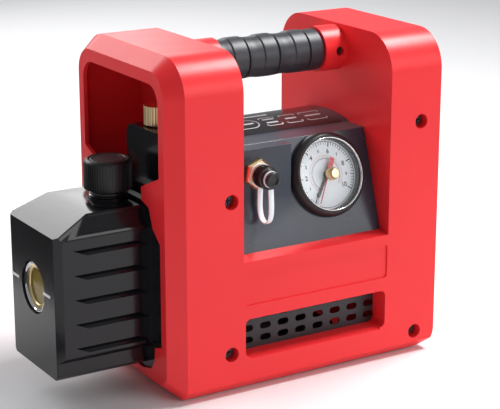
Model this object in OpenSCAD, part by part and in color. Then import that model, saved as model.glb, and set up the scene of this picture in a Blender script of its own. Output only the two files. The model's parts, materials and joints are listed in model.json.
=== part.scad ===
// Portable rotary vane vacuum pump in a carrying housing of two half shells.
// X runs along the motor shaft, -Y is the front, +Z is up.
// The origin is the middle of the footprint, on the ground.

/* [Housing] */
// Width of the housing along the shaft
housing_w = 231; // [220:1:280]
// Depth of the housing, front to back
housing_d = 150; // [146:1:185]
// Height from the ground to the top of the towers
overall_h = 250; // [242:1:300]
// Wall thickness of the half shells
wall = 3; // [2.4:0.2:3.6]
// Width of the left tower
left_tower_w = 58.5; // [54:0.5:66]
// Width of the right tower
right_tower_w = 45.5; // [42:0.5:55]
// Radius of the towers' front and rear top corners
corner_r = 28; // [22:1:34]
// Radius of the housing's lower right corner
low_corner_r = 16; // [10:1:20]
// Width of the slanted band round the left opening
band_w = 11.8; // [9:0.2:15]
// How far that band narrows the left side
band_in = 9.8; // [7:0.2:12]
// Width of the flat rim round the left opening
rim_w = 7.6; // [6:0.2:10]
// Depth of the slant along the bottom edge
base_slant_y = 8; // [5:0.5:10]
// Height of the slant along the bottom edge
base_slant_z = 7.5; // [5:0.5:10]
// Height of the sill between the towers
sill_z = 99.8; // [96:0.2:104]
// Depth of the sill
sill_d = 10.5; // [9:0.5:12]

/* [Panels] */
// Bottom of the recessed name panel
panel_z = 66.3; // [62:0.1:70]
// Height of the recessed name panel
panel_h = 26.3; // [20:0.1:28]
// Depth of the recessed name panel
panel_depth = 1.2; // [0.8:0.1:1.6]
// Bottom of the vent window
vent_z = 25; // [22:0.5:30]
// Height of the vent window
vent_h = 32.6; // [26:0.2:36]
// Depth from the front face to the grille
vent_depth = 16; // [12:0.5:20]
// Corner radius of the vent window
vent_r = 6; // [3:0.5:8]
// Distance between grille slots along X
slot_pitch_x = 15.5; // [13:0.1:18]
// Distance between grille rows
slot_pitch_z = 9.1; // [8:0.1:11]
// Length of a grille slot
slot_l = 9.4; // [7:0.1:11]
// Height of a grille slot
slot_h = 5; // [3:0.1:6]

/* [Console] */
// Lean of the console's front and rear from upright, in degrees
console_lean = 17.6; // [12:0.1:20]
// Height of the console's top edges
console_top_z = 176.2; // [170:0.1:182]
// Height that the crown stands above those edges
crown_h = 4.8; // [3:0.1:6]
// Wall thickness of the console
console_wall = 3; // [2.4:0.2:3.6]
// Distance of the inlet port from the left tower
port_from_left = 23.4; // [20:0.1:28]
// Height of the inlet port
port_z = 157.7; // [150:0.1:162]
// Width of the upright face that holds the inlet port
port_face_w = 52.8; // [48:0.1:60]
// Distance of the gauge from the right tower
gauge_from_right = 40.4; // [38:0.1:46]
// Distance of the gauge up the sloping front
gauge_up = 47; // [44:0.5:50]
// Outer radius of the gauge's bezel
bezel_r = 32; // [28:0.5:34]

/* [Handle] */
// Height of the handle's axis
handle_z = 231; // [226:0.5:232]
// Radius of the rubber grip
grip_r = 16.4; // [14:0.1:17]
// Radius of the tube inside the grip
handle_core_r = 9; // [7:0.5:11]
// Radius of the bosses that hold the handle
boss_r = 17.4; // [15:0.1:18]
// Length of each boss
boss_l = 19; // [15:0.5:22]

/* [Oil casing] */
// How far the oil casing stands out of the housing
casing_out = 72; // [60:1:90]
// Width of the oil casing
casing_w = 82; // [76:1:96]
// Height of the oil casing's top
casing_top_z = 141.5; // [138:0.5:146]
// Height of the oil casing's underside
casing_low_z = 23; // [18:0.5:26]
// Wall thickness of the oil casing
casing_wall = 4; // [3:0.5:5]
// Radius of the sight glass's ring
sight_r = 19.2; // [16:0.2:21]
// Radius of the filler cap
cap_r = 18; // [15:0.5:20]
// Height of the filler cap
cap_h = 22; // [18:0.5:26]
// Thread pitch of the filler cap
cap_pitch = 3; // [2:0.5:4]

/* [Pump and motor] */
// Height of the shaft
shaft_z = 83; // [80:0.5:86]
// Radius of the pump shaft
shaft_r = 8; // [6:0.5:9]
// Radius of the vane rotors
rotor_r = 22; // [18:0.5:24]
// How far the cylinders stand off the shaft's centre
offset_e = 2.7; // [2:0.1:3.5]
// Length of the first stage
stage1_l = 24; // [18:1:28]
// Length of the second stage
stage2_l = 14; // [10:1:18]
// Outer radius of the motor
motor_r = 46; // [42:0.5:48]
// Length of the motor's frame tube
motor_l = 104; // [90:1:112]
// Outer radius of the fan
fan_r = 50; // [44:1:54]
// How far the fan cover stands out of the housing
cover_out = 13; // [9:0.5:18]
// Outer radius of the fan cover
cover_r = 60; // [56:0.5:62]

/* [Fits] */
// Gap between fixed pieces that sit in each other
fit_gap = 0.3; // [0.2:0.05:0.5]
// Gap round a shaft that turns in its bearing
run_gap = 0.05; // [0.02:0.01:0.08]
// Gap between moving pieces
move_gap = 0.4; // [0.3:0.05:0.6]

/* [Hidden] */
$fn = 64;
foot_h = 1.4;
foot_r = 8;
base_z = foot_h;
total_l = casing_out + housing_w + cover_out;
left_x = -total_l / 2 + casing_out;
right_x = left_x + housing_w;
gap_l = left_x + left_tower_w;
gap_r = right_x - right_tower_w;
half_d = housing_d / 2;
end_x = left_x - casing_out;
half_c = casing_w / 2;
// How far the inlet cap stands out in front, and the switch behind
standout = 3;
// Sloping faces of the console
foot_y = half_d - sill_d - fit_gap;
console_z0 = sill_z + 2.2;
lean_tan = tan(console_lean);
top_y = foot_y - (console_top_z - console_z0) * lean_tan;
console_l = gap_r - gap_l - 2 * fit_gap;
band_y = 16;
crown_mid_y = 8.5;
crown_half = top_y - crown_mid_y;
crown_r = (crown_half * crown_half + crown_h * crown_h) / (2 * crown_h);
cap_reach = 24.1;
port_face_y = half_d + standout - cap_reach;
port_x = gap_l + port_from_left;
gauge_x = gap_r - gauge_from_right;
gauge_back = 23;
pipe_y = -foot_y + gauge_up * sin(console_lean) + gauge_back * cos(console_lean);
pipe_z = console_z0 + gauge_up * cos(console_lean) - gauge_back * sin(console_lean);
pipe_r = 2.4;
manifold_half = 12;
port_thread_r = 6.3;
stem_r = 4.6;
pointer_rest = 147;
set_hand_rest = 153;
// Layout along the shaft
flange_x = left_x + 1.5;
flange_t = 6;
gasket_t = 1.5;
bracket_x = flange_x + flange_t + gasket_t;
bracket_t = 8;
lantern_r = 40;
bell_t = 10;
motor_x = gap_l + 7.5;
frame_x = motor_x + bell_t;
end_bell_x = frame_x + motor_l - 2 * bell_t;
fan_x = end_bell_x + bell_t + 7;
fan_t = 18;
mid_plate_t = 4;
end_plate_t = 6;
side_gap = 0.3;
cyl_bore_r = rotor_r + offset_e + side_gap;
cyl_r = cyl_bore_r + 10;
pump_bolt_r = cyl_r - 4.4;
pump_bolt_hole_r = 2;
vane_t = 3;
stage1_x = bracket_x - stage1_l;
mid_x = stage1_x - mid_plate_t;
stage2_x = mid_x - stage2_l;
end_plate_x = stage2_x - end_plate_t;
stages = [[stage1_x, stage1_l], [stage2_x, stage2_l]];
coupling_x = bracket_x + bracket_t + 4;
hub_l = 16;
spider_t = 8.4;
motor_shaft_r = 7;
motor_shaft_x = coupling_x + hub_l + spider_t;
stator_x = frame_x + 22;
stator_l = motor_l - 60;
// Shell screws
screw_r = 2;
screw_head_r = 4.2;
pocket_r = 5.6;
pocket_depth = 9;
post_r = 6.8;
left_screw_x = gap_l - 10;
right_screw_x = gap_r + 28;
screw_places = [[left_screw_x, 146], [left_screw_x, 31.5], [right_screw_x, 184], [right_screw_x - 1, 17.5]];
handle_screw_in = 6;
// Inlet block beside the pump
block_x = bracket_x + 6;
block_l = left_screw_x - post_r - 0.6 - block_x;
block_y0 = -34;
block_y1 = 19;
block_z0 = 124;
block_top = 190;
cap_x = left_x - 10.6;
neck_r = 12.5;
cap_z = casing_top_z + 6.5;
rear_panel_z = 77;
switch_x = gap_l + 30;
rocker_tilt = 8;
rocker_y = half_d + standout - 6 * cos(rocker_tilt) - 12 * sin(rocker_tilt);
socket_x = gap_l + 84;
casing_flat = 9;
casing_drop = 15.5;

// ---------- helpers ----------
// Extrudes a (Y, Z) outline along X
module along_x(x, l) translate([x, 0, 0]) rotate([90, 0, 90]) linear_extrude(l) children();
// Extrudes an (X, Z) outline along Y
module along_y(y, l) translate([0, y + l, 0]) rotate([90, 0, 0]) linear_extrude(l) children();
module rod_x(x, l, r, y = 0, z = shaft_z) translate([x, y, z]) rotate([0, 90, 0]) cylinder(h = l, r = r);
module rod_y(y, l, r, x, z) translate([x, y, z]) rotate([-90, 0, 0]) cylinder(h = l, r = r);
module tube_x(x, l, ro, ri, y = 0, z = shaft_z) difference() {
    rod_x(x, l, ro, y, z);
    rod_x(x - 1, l + 2, ri, y, z);
}
module box(x0, x1, y0, y1, z0, z1) translate([x0, y0, z0]) cube([x1 - x0, y1 - y0, z1 - z0]);
// Rectangle with round corners
module round_rect(x0, x1, z0, z1, r) {
    translate([x0 + r, z0]) square([x1 - x0 - 2 * r, z1 - z0]);
    translate([x0, z0 + r]) square([x1 - x0, z1 - z0 - 2 * r]);
    for (x = [x0 + r, x1 - r], z = [z0 + r, z1 - r])
        translate([x, z]) circle(r);
}
// Places children on the console's front slope: x along X, y up the slope, z outwards
module on_slope(x, up) translate([x, -foot_y, console_z0]) rotate([90 - console_lean, 0, 0])
    translate([0, up, 0]) children();

// ---------- housing ----------
// Side view of the housing, drawn in by i
module side_profile(i) {
    h = half_d - i;
    r = corner_r - i;
    top = overall_h - i;
    low = base_z + i;
    polygon([[-h + base_slant_y, low], [h - base_slant_y, low], [h, low + base_slant_z], [h, top - r],
        [h - r, top - r], [h - r, top], [-h + r, top], [-h + r, top - r], [-h, top - r], [-h, low + base_slant_z]]);
    for (s = [-1, 1])
        translate([s * (h - r), top - r]) circle(r);
}
// Front view of the housing's outline, drawn in by i
module front_outline(i) {
    r = low_corner_r - i;
    x1 = right_x - i;
    z0 = base_z + i;
    translate([left_x - 1, z0]) square([x1 - r - left_x + 1, overall_h]);
    translate([left_x - 1, z0 + r]) square([x1 - left_x + 1, overall_h]);
    translate([x1 - r, z0 + r]) circle(r);
}
// Solid of the housing with the slanted band at its left, drawn in by i
module housing_block(i) intersection() {
    union() {
        along_x(left_x + band_w, housing_w - band_w - i) side_profile(i);
        hull() {
            along_x(left_x + i, 0.01) side_profile(band_in + i);
            along_x(left_x + band_w, 0.01) side_profile(i);
        }
    }
    along_y(-housing_d, 2 * housing_d) front_outline(i);
}
// Outline of the console, drawn in by i, reaching down to z
module console_profile(i, z) {
    y0 = foot_y - i / cos(console_lean);
    zt = console_top_z - i;
    yt = y0 - (zt - console_z0) * lean_tan;
    polygon([[-y0, z], [y0, z], [y0, console_z0], [yt, zt], [-yt, zt], [-y0, console_z0]]);
    intersection() {
        translate([crown_mid_y, console_top_z + crown_h - crown_r]) circle(r = crown_r - i, $fn = 180);
        translate([-top_y + band_y + i, zt - 8]) square([top_y - band_y + yt - i, 8 + crown_h]);
    }
}
// Outline of the opening in the left side, drawn in by i
module left_opening(i) {
    wy = half_d - band_in - rim_w;
    wz = overall_h - band_in - rim_w - 1.5;
    r = corner_r - band_in - rim_w + 3;
    translate([-wy + i, 170]) square([2 * (wy - i), wz - r - 170]);
    translate([-wy + r, 171]) square([2 * (wy - r), wz - i - 171]);
    for (s = [-1, 1])
        translate([s * (wy - r), wz - r]) circle(r - i);
    polygon([for (s = [1, -1], p = (s > 0 ? [0:1:4] : [4:-1:0]))
        [s * ([wy, wy, 31, 31, 31][p] - i), [171, 166, 154.5, 150, 142][p]]]);
    flange_outline(0);
}
// Outline of the oil casing's flange, grown by g
module flange_outline(g) polygon([for (s = [1, -1], k = (s > 0 ? [0:1:8] : [8:-1:0]))
    [s * ([31, half_c + 1, half_c + 6.5, half_c + 17, half_c + 17, half_c + 7, half_c + 6, half_c + 1, 30][k] + g),
    [144.5, 141.5, 127, 118, 41, 38, 28, 20, 17][k] + (k < 4 ? g : -g)]]);
module window_front(i) round_rect(gap_l + i, gap_r - i, vent_z + i, vent_z + vent_h - i, vent_r - i);
// Way through the tower walls, under the console and over the floor
module passage() {
    along_x(gap_l - wall - 1, gap_r - gap_l + 2 * wall + 2) console_profile(console_wall + fit_gap, 97);
    box(gap_l - wall - 1, gap_r + wall + 1, -half_d, half_d, base_z, 97.1);
}
// Inside of the housing, without the inner walls of the two towers
module hollow() difference() {
    housing_block(wall);
    difference() {
        for (x = [gap_l - wall, gap_r])
            box(x, x + wall, -half_d, half_d, base_z, overall_h);
        passage();
    }
}
// Both half shells in one, cut in two by the shell modules
module shells() difference() {
    union() {
        difference() {
            housing_block(0);
            hollow();
            // the space between the towers, above the sill
            box(gap_l, gap_r, -half_d - 1, half_d + 1, console_z0, overall_h + 1);
        }
        screw_posts();
        sills();
        for (x = [gap_l - 1, gap_r - boss_l])
            rod_x(x, boss_l + 1, boss_r, 0, handle_z);
    }
    along_x(left_x - 1, wall + 1) left_opening(0);
    rod_x(right_x - wall - 1, wall + 2, cover_r - 3 + fit_gap);
    rod_x(gap_l - 12, gap_r - gap_l + 24, handle_core_r + fit_gap / 3, 0, handle_z);
    for (y = [-half_d, half_d])
        sill_cut(y);
    for (x = [left_x + 32, right_x - 32], y = [-50, 50])
        translate([x, y, 0]) cylinder(h = base_z + wall + 1, r = 4);
}
// Posts for the long screws, from the front wall to the rear wall
module screw_posts() intersection() {
    for (p = screw_places)
        rod_y(1 - half_d, housing_d - 2, post_r, p[0], p[1]);
    housing_block(1);
}
module sills() along_x(gap_l - 1, gap_r - gap_l + 2) for (s = [-1, 1])
    polygon([[s * (half_d - 1), sill_z - 6], [s * (half_d - 1), sill_z + 0.2], [s * (half_d - sill_d), console_z0],
        [s * (half_d - sill_d), console_z0 - 3.4]]);
module sill_cut(y) along_x(gap_l, gap_r - gap_l) polygon([[y * 1.01, sill_z], [y, sill_z],
    [y - sign(y) * sill_d, console_z0], [y - sign(y) * sill_d, console_z0 + 4], [y * 1.01, console_z0 + 4]]);
module front_shell() color("crimson") difference() {
    union() {
        intersection() {
            shells();
            box(left_x - 1, right_x + 1, -half_d - 1, 0, 0, overall_h + 1);
        }
        // walls of the vent window
        along_y(-half_d + 0.5, vent_depth - 0.5) difference() {
            window_front(-2);
            window_front(1.5);
        }
    }
    // name panel
    along_y(-half_d - 1, 1 + panel_depth) round_rect(gap_l + 0.5, gap_r - 0.5, panel_z, panel_z + panel_h, 3);
    // vent window, with its slanted lower edge
    along_y(-half_d - 1, vent_depth + 2) window_front(1.5);
    along_x(gap_l + vent_r, gap_r - gap_l - 2 * vent_r)
        polygon([[-half_d - 1, vent_z], [-half_d, vent_z], [-half_d + 5, vent_z + 2], [-half_d - 1, vent_z + 4]]);
    for (p = screw_places) {
        rod_y(-half_d - 1, 1 + pocket_depth, pocket_r, p[0], p[1]);
        rod_y(-half_d, half_d + 1, screw_r + fit_gap, p[0], p[1]);
    }
    for (x = [gap_l + boss_l / 2 - 3, gap_r - boss_l / 2 + 3]) {
        rod_y(-boss_r - 1, 1 + handle_screw_in, 3.6, x, handle_z);
        rod_y(-boss_r, boss_r, 1.6, x, handle_z);
    }
}
module rear_shell() color("crimson") difference() {
    intersection() {
        shells();
        box(left_x - 1, right_x + 1, 0, half_d + 1, 0, overall_h + 1);
    }
    for (p = screw_places)
        rod_y(-1, 24, screw_r + run_gap, p[0], p[1]);
    // air slots in the rear wall
    for (k = [0:1:8])
        along_y(half_d - wall - 1, wall + 2)
            round_rect(gap_l + 10 + k * 12.6, gap_l + 16 + k * 12.6, 20, 48, 2.9);
    box(switch_x - 11.5, switch_x + 11.5, half_d - wall - 1, half_d + 1, rear_panel_z - 15.5, rear_panel_z + 15.5);
    box(socket_x - 14.5, socket_x + 14.5, half_d - wall - 1, half_d + 1, rear_panel_z - 12.5, rear_panel_z + 12.5);
    for (x = [socket_x - 20, socket_x + 20])
        rod_y(half_d - wall - 1, wall + 2, 1.5, x, rear_panel_z);
}
module shell_screws() color("dimgray") for (p = screw_places) difference() {
    union() {
        rod_y(-half_d + pocket_depth - 3, 3, screw_head_r, p[0], p[1]);
        rod_y(-half_d + pocket_depth - 0.5, half_d - pocket_depth + 20, screw_r, p[0], p[1]);
    }
    for (a = [0, 90])
        translate([p[0], -half_d + pocket_depth - 2.6, p[1]]) rotate([0, a, 0])
            cube([5, 3, 1], center = true);
}
module rubber_feet() color([0.1, 0.1, 0.1])
    for (x = [left_x + 32, right_x - 32], y = [-50, 50])
        translate([x, y, 0]) {
            cylinder(h = base_z, r = foot_r);
            cylinder(h = base_z + wall + 1, r = 3.9);
            translate([0, 0, base_z + wall + 0.1]) cylinder(h = 2, r1 = 5, r2 = 3.9);
        }

// ---------- handle ----------
module handle_grip() color([0.12, 0.12, 0.13]) {
    x0 = gap_l + boss_l + fit_gap;
    l = gap_r - gap_l - 2 * boss_l - 2 * fit_gap;
    rings = 3;
    difference() {
        rod_x(x0, l, grip_r, 0, handle_z);
        rod_x(x0 - 1, l + 2, handle_core_r + fit_gap / 3, 0, handle_z);
        for (k = [0:1:rings - 1])
            tube_x(x0 + l * (k + 0.72) / rings, 1.2, grip_r + 1, grip_r - 0.8, 0, handle_z);
    }
}
module handle_core() color("silver") difference() {
    rod_x(gap_l - 10, gap_r - gap_l + 20, handle_core_r, 0, handle_z);
    rod_x(gap_l - 11, gap_r - gap_l + 22, handle_core_r - 2, 0, handle_z);
    for (x = [gap_l + boss_l / 2 - 3, gap_r - boss_l / 2 + 3])
        rod_y(-handle_core_r - 1, handle_core_r, 1.6, x, handle_z);
}
module handle_screws() color("dimgray") for (x = [gap_l + boss_l / 2 - 3, gap_r - boss_l / 2 + 3]) difference() {
    union() {
        rod_y(-boss_r + handle_screw_in - 2.4, 2.4, 3.2, x, handle_z);
        rod_y(-boss_r + handle_screw_in - 0.5, boss_r - handle_screw_in - 4, 1.5, x, handle_z);
    }
    for (a = [0, 90])
        translate([x, -boss_r + handle_screw_in - 2.2, handle_z]) rotate([0, a, 0])
            cube([3.6, 2, 0.8], center = true);
}

// ---------- console ----------
// Upright face that the inlet port is mounted on
module port_face_profile(i) {
    zt = console_top_z - 0.3;
    polygon([[-port_face_y + i, console_z0 + (foot_y - port_face_y) / lean_tan + i * 2.2],
        [-port_face_y + i, zt - i], [0, zt - i], [0, 130]]);
}
module console_cover() color([0.13, 0.13, 0.14]) difference() {
    union() {
        along_x(gap_l + fit_gap, console_l) console_profile(0, sill_z - 1.5);
        along_x(gap_l + fit_gap, port_face_w) port_face_profile(0);
    }
    along_x(gap_l - 1, console_l + 4) console_profile(console_wall, sill_z - 3);
    along_x(gap_l - 1, port_face_w + 1 - console_wall) port_face_profile(console_wall);
    on_slope(gauge_x, gauge_up) translate([0, 0, -8]) cylinder(h = 16, r = bezel_r - 3.5);
    rod_y(-foot_y, 20, 6.6, port_x, port_z);
}
module vent_grille() color([0.16, 0.16, 0.17]) {
    y = -half_d + vent_depth + 0.1;
    n = floor((gap_r - gap_l + 14) / slot_pitch_x);
    rows = 5;
    difference() {
        box(gap_l - 2.5, gap_r + 2.5, y, y + 1.5, vent_z - 8, vent_z + vent_h + 6);
        for (c = [0:1:n - 1], k = [0:1:rows - 1])
            along_y(y - 1, 4) translate([gap_l - 2.7 + c * slot_pitch_x, vent_z - 1.2 + k * slot_pitch_z])
                round_rect(-slot_l / 2, slot_l / 2, -slot_h / 2, slot_h / 2, slot_h / 2 - 0.01);
    }
}
module fan_cover() color([0.13, 0.13, 0.14]) {
    r0 = cover_r;
    r1 = cover_r - 9;
    difference() {
        translate([right_x, 0, shaft_z]) rotate([0, 90, 0]) rotate_extrude($fn = 96)
            polygon([[0, cover_out - 2.4], [0, cover_out], [r1, cover_out], [r0 - 2, cover_out - 5], [r0, cover_out - 8],
                [r0, 0], [r0 - 3, 0], [r0 - 3, -wall], [r0 - 5.4, -wall], [r0 - 5.4, cover_out - 8],
                [r1 - 1, cover_out - 2.4]]);
        for (a = [0:20:340])
            translate([right_x + cover_out - 4, 0, shaft_z]) rotate([a, 0, 0])
                box(-1, 6, -2, 2, 14, r1 - 6);
    }
}

// ---------- gauge ----------
module gauge_case() color([0.1, 0.1, 0.1]) on_slope(gauge_x, gauge_up) difference() {
    union() {
        translate([0, 0, -18]) cylinder(h = 19.8, r = bezel_r - 3.8);
        translate([0, 0, 0.1]) cylinder(h = 1.7, r = bezel_r - 1.4);
    }
    translate([0, 0, -16]) cylinder(h = 20, r = bezel_r - 5.8);
}
module gauge_bezel() color([0.08, 0.08, 0.08]) on_slope(gauge_x, gauge_up) rotate_extrude($fn = 96)
    polygon([[bezel_r - 1.2, 0.1], [bezel_r, 0.1], [bezel_r, 3], [bezel_r - 1.4, 6.5], [bezel_r - 3.6, 8.6],
        [bezel_r - 5, 8.6], [bezel_r - 5, 6.4], [bezel_r - 4.4, 5.8], [bezel_r - 4.4, 1.9], [bezel_r - 1.2, 1.9]]);
module gauge_dial() color("white") on_slope(gauge_x, gauge_up) translate([0, 0, -1]) difference() {
    cylinder(h = 1, r = bezel_r - 6);
    translate([0, 0, -1]) cylinder(h = 3, r = 1.5 + move_gap);
}
module gauge_lens() color("lightblue", 0.3) on_slope(gauge_x, gauge_up) translate([0, 0, 4.6]) difference() {
    cylinder(h = 1.2, r = bezel_r - 4.6);
    translate([0, 0, -1]) cylinder(h = 3, r = 1.2 + move_gap);
}
// Pointer at the start of its scale, low on the left
module gauge_pointer() color("black") on_slope(gauge_x, gauge_up) rotate([0, 0, pointer_rest]) {
    translate([0, 0, 0.7]) cylinder(h = 1.6, r = 2.6);
    translate([0, 0, -6]) cylinder(h = 7, r = 1.5);
    translate([0, 0, 0.9]) linear_extrude(0.6)
        polygon([[-1.5, -8], [1.5, -8], [0.5, 21], [-0.5, 21]]);
}
module gauge_set_hand() color("red") on_slope(gauge_x, gauge_up) rotate([0, 0, set_hand_rest]) {
    translate([0, 0, 3]) linear_extrude(0.6)
        polygon([[-2, -10], [2, -10], [2, -4], [0.4, 23], [-0.4, 23], [-2, -4]]);
    translate([0, 0, 2.9]) cylinder(h = 4, r = 1.2);
    translate([0, 0, 6.3]) difference() {
        cylinder(h = 7, r = 3.4);
        translate([0, 0, 6.3]) cube([1, 10, 1.6], center = true);
    }
}
// Socket on the back of the gauge, with its pipe to the manifold
module gauge_pipe() color("peru") {
    on_slope(gauge_x, gauge_up) translate([0, 0, -gauge_back - 5]) cylinder(h = gauge_back - 13.1, r = 6);
    rod_x(port_x + manifold_half + 0.05, gauge_x - port_x - manifold_half, pipe_r, pipe_y, pipe_z);
}

// ---------- inlet ----------
// Rod along Y on the port's axis; from and l are measured outwards from the port's face
module port_rod(from, l, r) rod_y(-port_face_y - from - l, l, r, port_x, port_z);
module inlet_port() color("goldenrod") difference() {
    union() {
        port_rod(0.1, 4.5, 9.4);
        port_rod(0.1, 6.5, 7.4);
        port_rod(0.1, 14.9, stem_r);
        port_rod(-17, 17.5, port_thread_r);
    }
    port_rod(-20, 40, 2.4);
    // six flats
    for (a = [0:60:300])
        translate([port_x, -port_face_y, port_z]) rotate([0, a, 0])
            box(8.2, 12, -4.7, 0, -8, 8);
}
module inlet_nut() color("goldenrod") difference() {
    translate([port_x, -port_face_y + console_wall + 0.1, port_z]) rotate([-90, 0, 0]) cylinder(h = 4, r = 10.5, $fn = 6);
    port_rod(-20, 20, port_thread_r + run_gap);
}
module inlet_manifold() color("goldenrod") difference() {
    box(port_x - manifold_half, port_x + manifold_half, -port_face_y + console_wall + 4.6, -20, pipe_z - 6, port_z + 11);
    port_rod(-18, 14, port_thread_r + run_gap);
    port_rod(-56, 40, 3);
    translate([port_x, pipe_y, pipe_z]) cylinder(h = port_z - pipe_z, r = pipe_r - 0.6);
    rod_x(port_x, manifold_half + 1, pipe_r - 0.6, pipe_y, pipe_z);
}
module inlet_cap() color([0.08, 0.08, 0.08]) difference() {
    union() {
        port_rod(7.5, 9.1, 8.2);
        port_rod(16.5, 2.1, 6.6);
        port_rod(18.5, 2.4, 4.2);
        port_rod(20.8, cap_reach - 20.8, 5.4);
    }
    port_rod(6, 9.4, stem_r + move_gap);
    for (a = [0:30:330])
        translate([port_x, 0, port_z]) rotate([0, a, 0])
            rod_y(-port_face_y - 16, 9, 0.7, 8.4, 0);
}
module cap_seal() color("black") difference() {
    port_rod(6.65, 0.8, 7.2);
    port_rod(5, 4, stem_r + move_gap);
}
// Loop that keeps the cap on the port
module cap_strap() color("whitesmoke") {
    t = 0.7;
    y0 = -port_face_y - 5.4;
    y1 = -port_face_y - 19.7;
    r = (y0 - y1) / 2;
    drop = 24;
    box(port_x - 2, port_x + 2, y0 - t, y0 + t, port_z - drop, port_z - 8);
    box(port_x - 2, port_x + 2, y1 - t, y1 + t, port_z - drop, port_z - 5);
    along_x(port_x - 2, 4) translate([(y0 + y1) / 2, port_z - drop]) difference() {
        circle(r + t);
        circle(r - t);
        translate([-20, 0]) square([40, 20]);
    }
    for (p = [[y0, 7.7, 10], [y1, 4.5, 6.8]]) difference() {
        rod_y(p[0] - t, 2 * t, p[2], port_x, port_z);
        rod_y(p[0] - 3, 6, p[1], port_x, port_z);
    }
}
module suction_tube() color("peru") {
    r = 4.5;
    bend = 11;
    x0 = block_x + block_l + 0.1;
    rod_x(x0, port_x - bend - x0, r, 0, port_z);
    translate([port_x - bend, -bend, port_z]) rotate_extrude(angle = 90) translate([bend, 0]) circle(r, $fn = 48);
    rod_y(-19.9, 19.9 - bend, r, port_x, port_z);
}

// ---------- oil casing ----------
// Cross-section of the casing, drawn in by i
module casing_profile(i) {
    w = half_c - i;
    step = 4;
    polygon([for (s = [1, -1], k = (s > 0 ? [0:1:5] : [5:-1:0]))
        [s * [w - casing_flat, w, w, w - step, w - step, w - step - 3][k],
        [casing_top_z - i, casing_top_z - i - casing_drop, casing_low_z + 17, casing_low_z + 13,
        casing_low_z + i + 3, casing_low_z + i][k]]]);
}
module casing_block(i) difference() {
    along_x(end_x + i, flange_x + flange_t - end_x - i) casing_profile(i);
    // long slant down to the end face
    along_y(-half_c - 1, casing_w + 2) polygon([[end_x - 1, casing_top_z - 13.2 - i], [end_x + i, casing_top_z - 13.2 - i],
        [end_x + 28 + i, casing_top_z - i], [end_x + 28 + i, casing_top_z + 1], [end_x - 1, casing_top_z + 1]]);
    // upright slants at the end
    for (s = [-1, 1])
        translate([end_x + i, s * (half_c - i), 0]) rotate([0, 0, 45]) cube([7, 7, 400], center = true);
}
// One tapered groove, open to the front at height z
module groove_cut(z) intersection() {
    along_y(-half_c - 1, 6) polygon([[end_x + 13, z + 2.4], [left_x - 9.5, z + 2.4], [left_x + 0.5, z - 2.4],
        [end_x + 24, z - 2.4]]);
    along_x(end_x, casing_out + 2) polygon([[-half_c - 1, z + 2.4], [-half_c + 3.6, z + 1.8], [-half_c, z - 2.4],
        [-half_c - 1, z - 3]]);
}
// Shallow field in the front slant of the casing
module slant_field() intersection() {
    along_y(-half_c - 1, casing_w) polygon([[end_x + 15, casing_top_z - casing_drop], [left_x, casing_top_z - casing_drop],
        [left_x, casing_top_z], [end_x + 31, casing_top_z]]);
    along_x(end_x, casing_out) polygon([for (p = [[0.2, 3], [0.9, 3], [0.9, -1.2], [0.2, -1.2]])
        [-half_c + casing_flat * p[0] - 0.865 * p[1], casing_top_z - casing_drop * (1 - p[0]) + 0.5 * p[1]]]);
}
module oil_casing() color([0.1, 0.1, 0.1]) difference() {
    union() {
        casing_block(0);
        along_x(flange_x, flange_t) flange_outline(-0.5);
        translate([cap_x, 0, casing_top_z - 1]) cylinder(h = 2.4, r = neck_r + 3);
        translate([cap_x, 0, casing_top_z]) cylinder(h = 18, r = neck_r);
        for (k = [0:1:4])
            translate([cap_x, 0, casing_top_z + 2.6 + k * cap_pitch]) cylinder(h = 1.2, r = neck_r + 0.9);
    }
    difference() {
        casing_block(casing_wall);
        rod_x(end_x, casing_wall + 5, sight_r + 3);
    }
    translate([cap_x, 0, casing_top_z - casing_wall - 2]) cylinder(h = 40, r = neck_r - 3);
    for (k = [0:1:4], s = [0, 1])
        mirror([0, s, 0]) groove_cut(casing_top_z - 25 - k * 18);
    for (s = [0, 1])
        mirror([0, s, 0]) slant_field();
    rod_x(end_x - 1, 1 + 7, sight_r + 0.2);
    rod_x(end_x - 1, 1 + casing_wall + 6, sight_r - 6);
    for (y = [-1, 1], z = [54, 106])
        rod_x(flange_x + 1, 10, 2, y * (half_c + 11), z);
    translate([end_x + 40, 0, casing_low_z - 1]) cylinder(h = casing_wall + 2, r = 5 + run_gap);
}
module casing_gasket() color("saddlebrown") along_x(flange_x + flange_t, gasket_t) difference() {
    flange_outline(-1.5);
    casing_profile(casing_wall);
    for (y = [-1, 1], z = [54, 106])
        translate([y * (half_c + 11), z]) circle(2.4);
}
module casing_screws() color("silver") for (y = [-1, 1], z = [54, 106]) {
    rod_x(flange_x + 2, bracket_x + bracket_t - flange_x - 1.9, 2 - run_gap, y * (half_c + 11), z);
    rod_x(bracket_x + bracket_t + 0.05, 4, 4.2, y * (half_c + 11), z);
}
module sight_ring() color("silver") difference() {
    translate([end_x, 0, shaft_z]) rotate([0, 90, 0]) rotate_extrude()
        polygon([[sight_r - 1.4, 0.6], [sight_r, 1.4], [sight_r, 4.4], [sight_r - 6.2, 4.4], [sight_r - 5.2, 2.2],
            [sight_r - 3.4, 1]]);
}
module sight_glass() color("khaki", 0.5) rod_x(end_x + 4.45, 1.4, sight_r - 1);
module sight_seal() color("black") tube_x(end_x + 5.9, 1, sight_r - 1, sight_r - 5);
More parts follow.
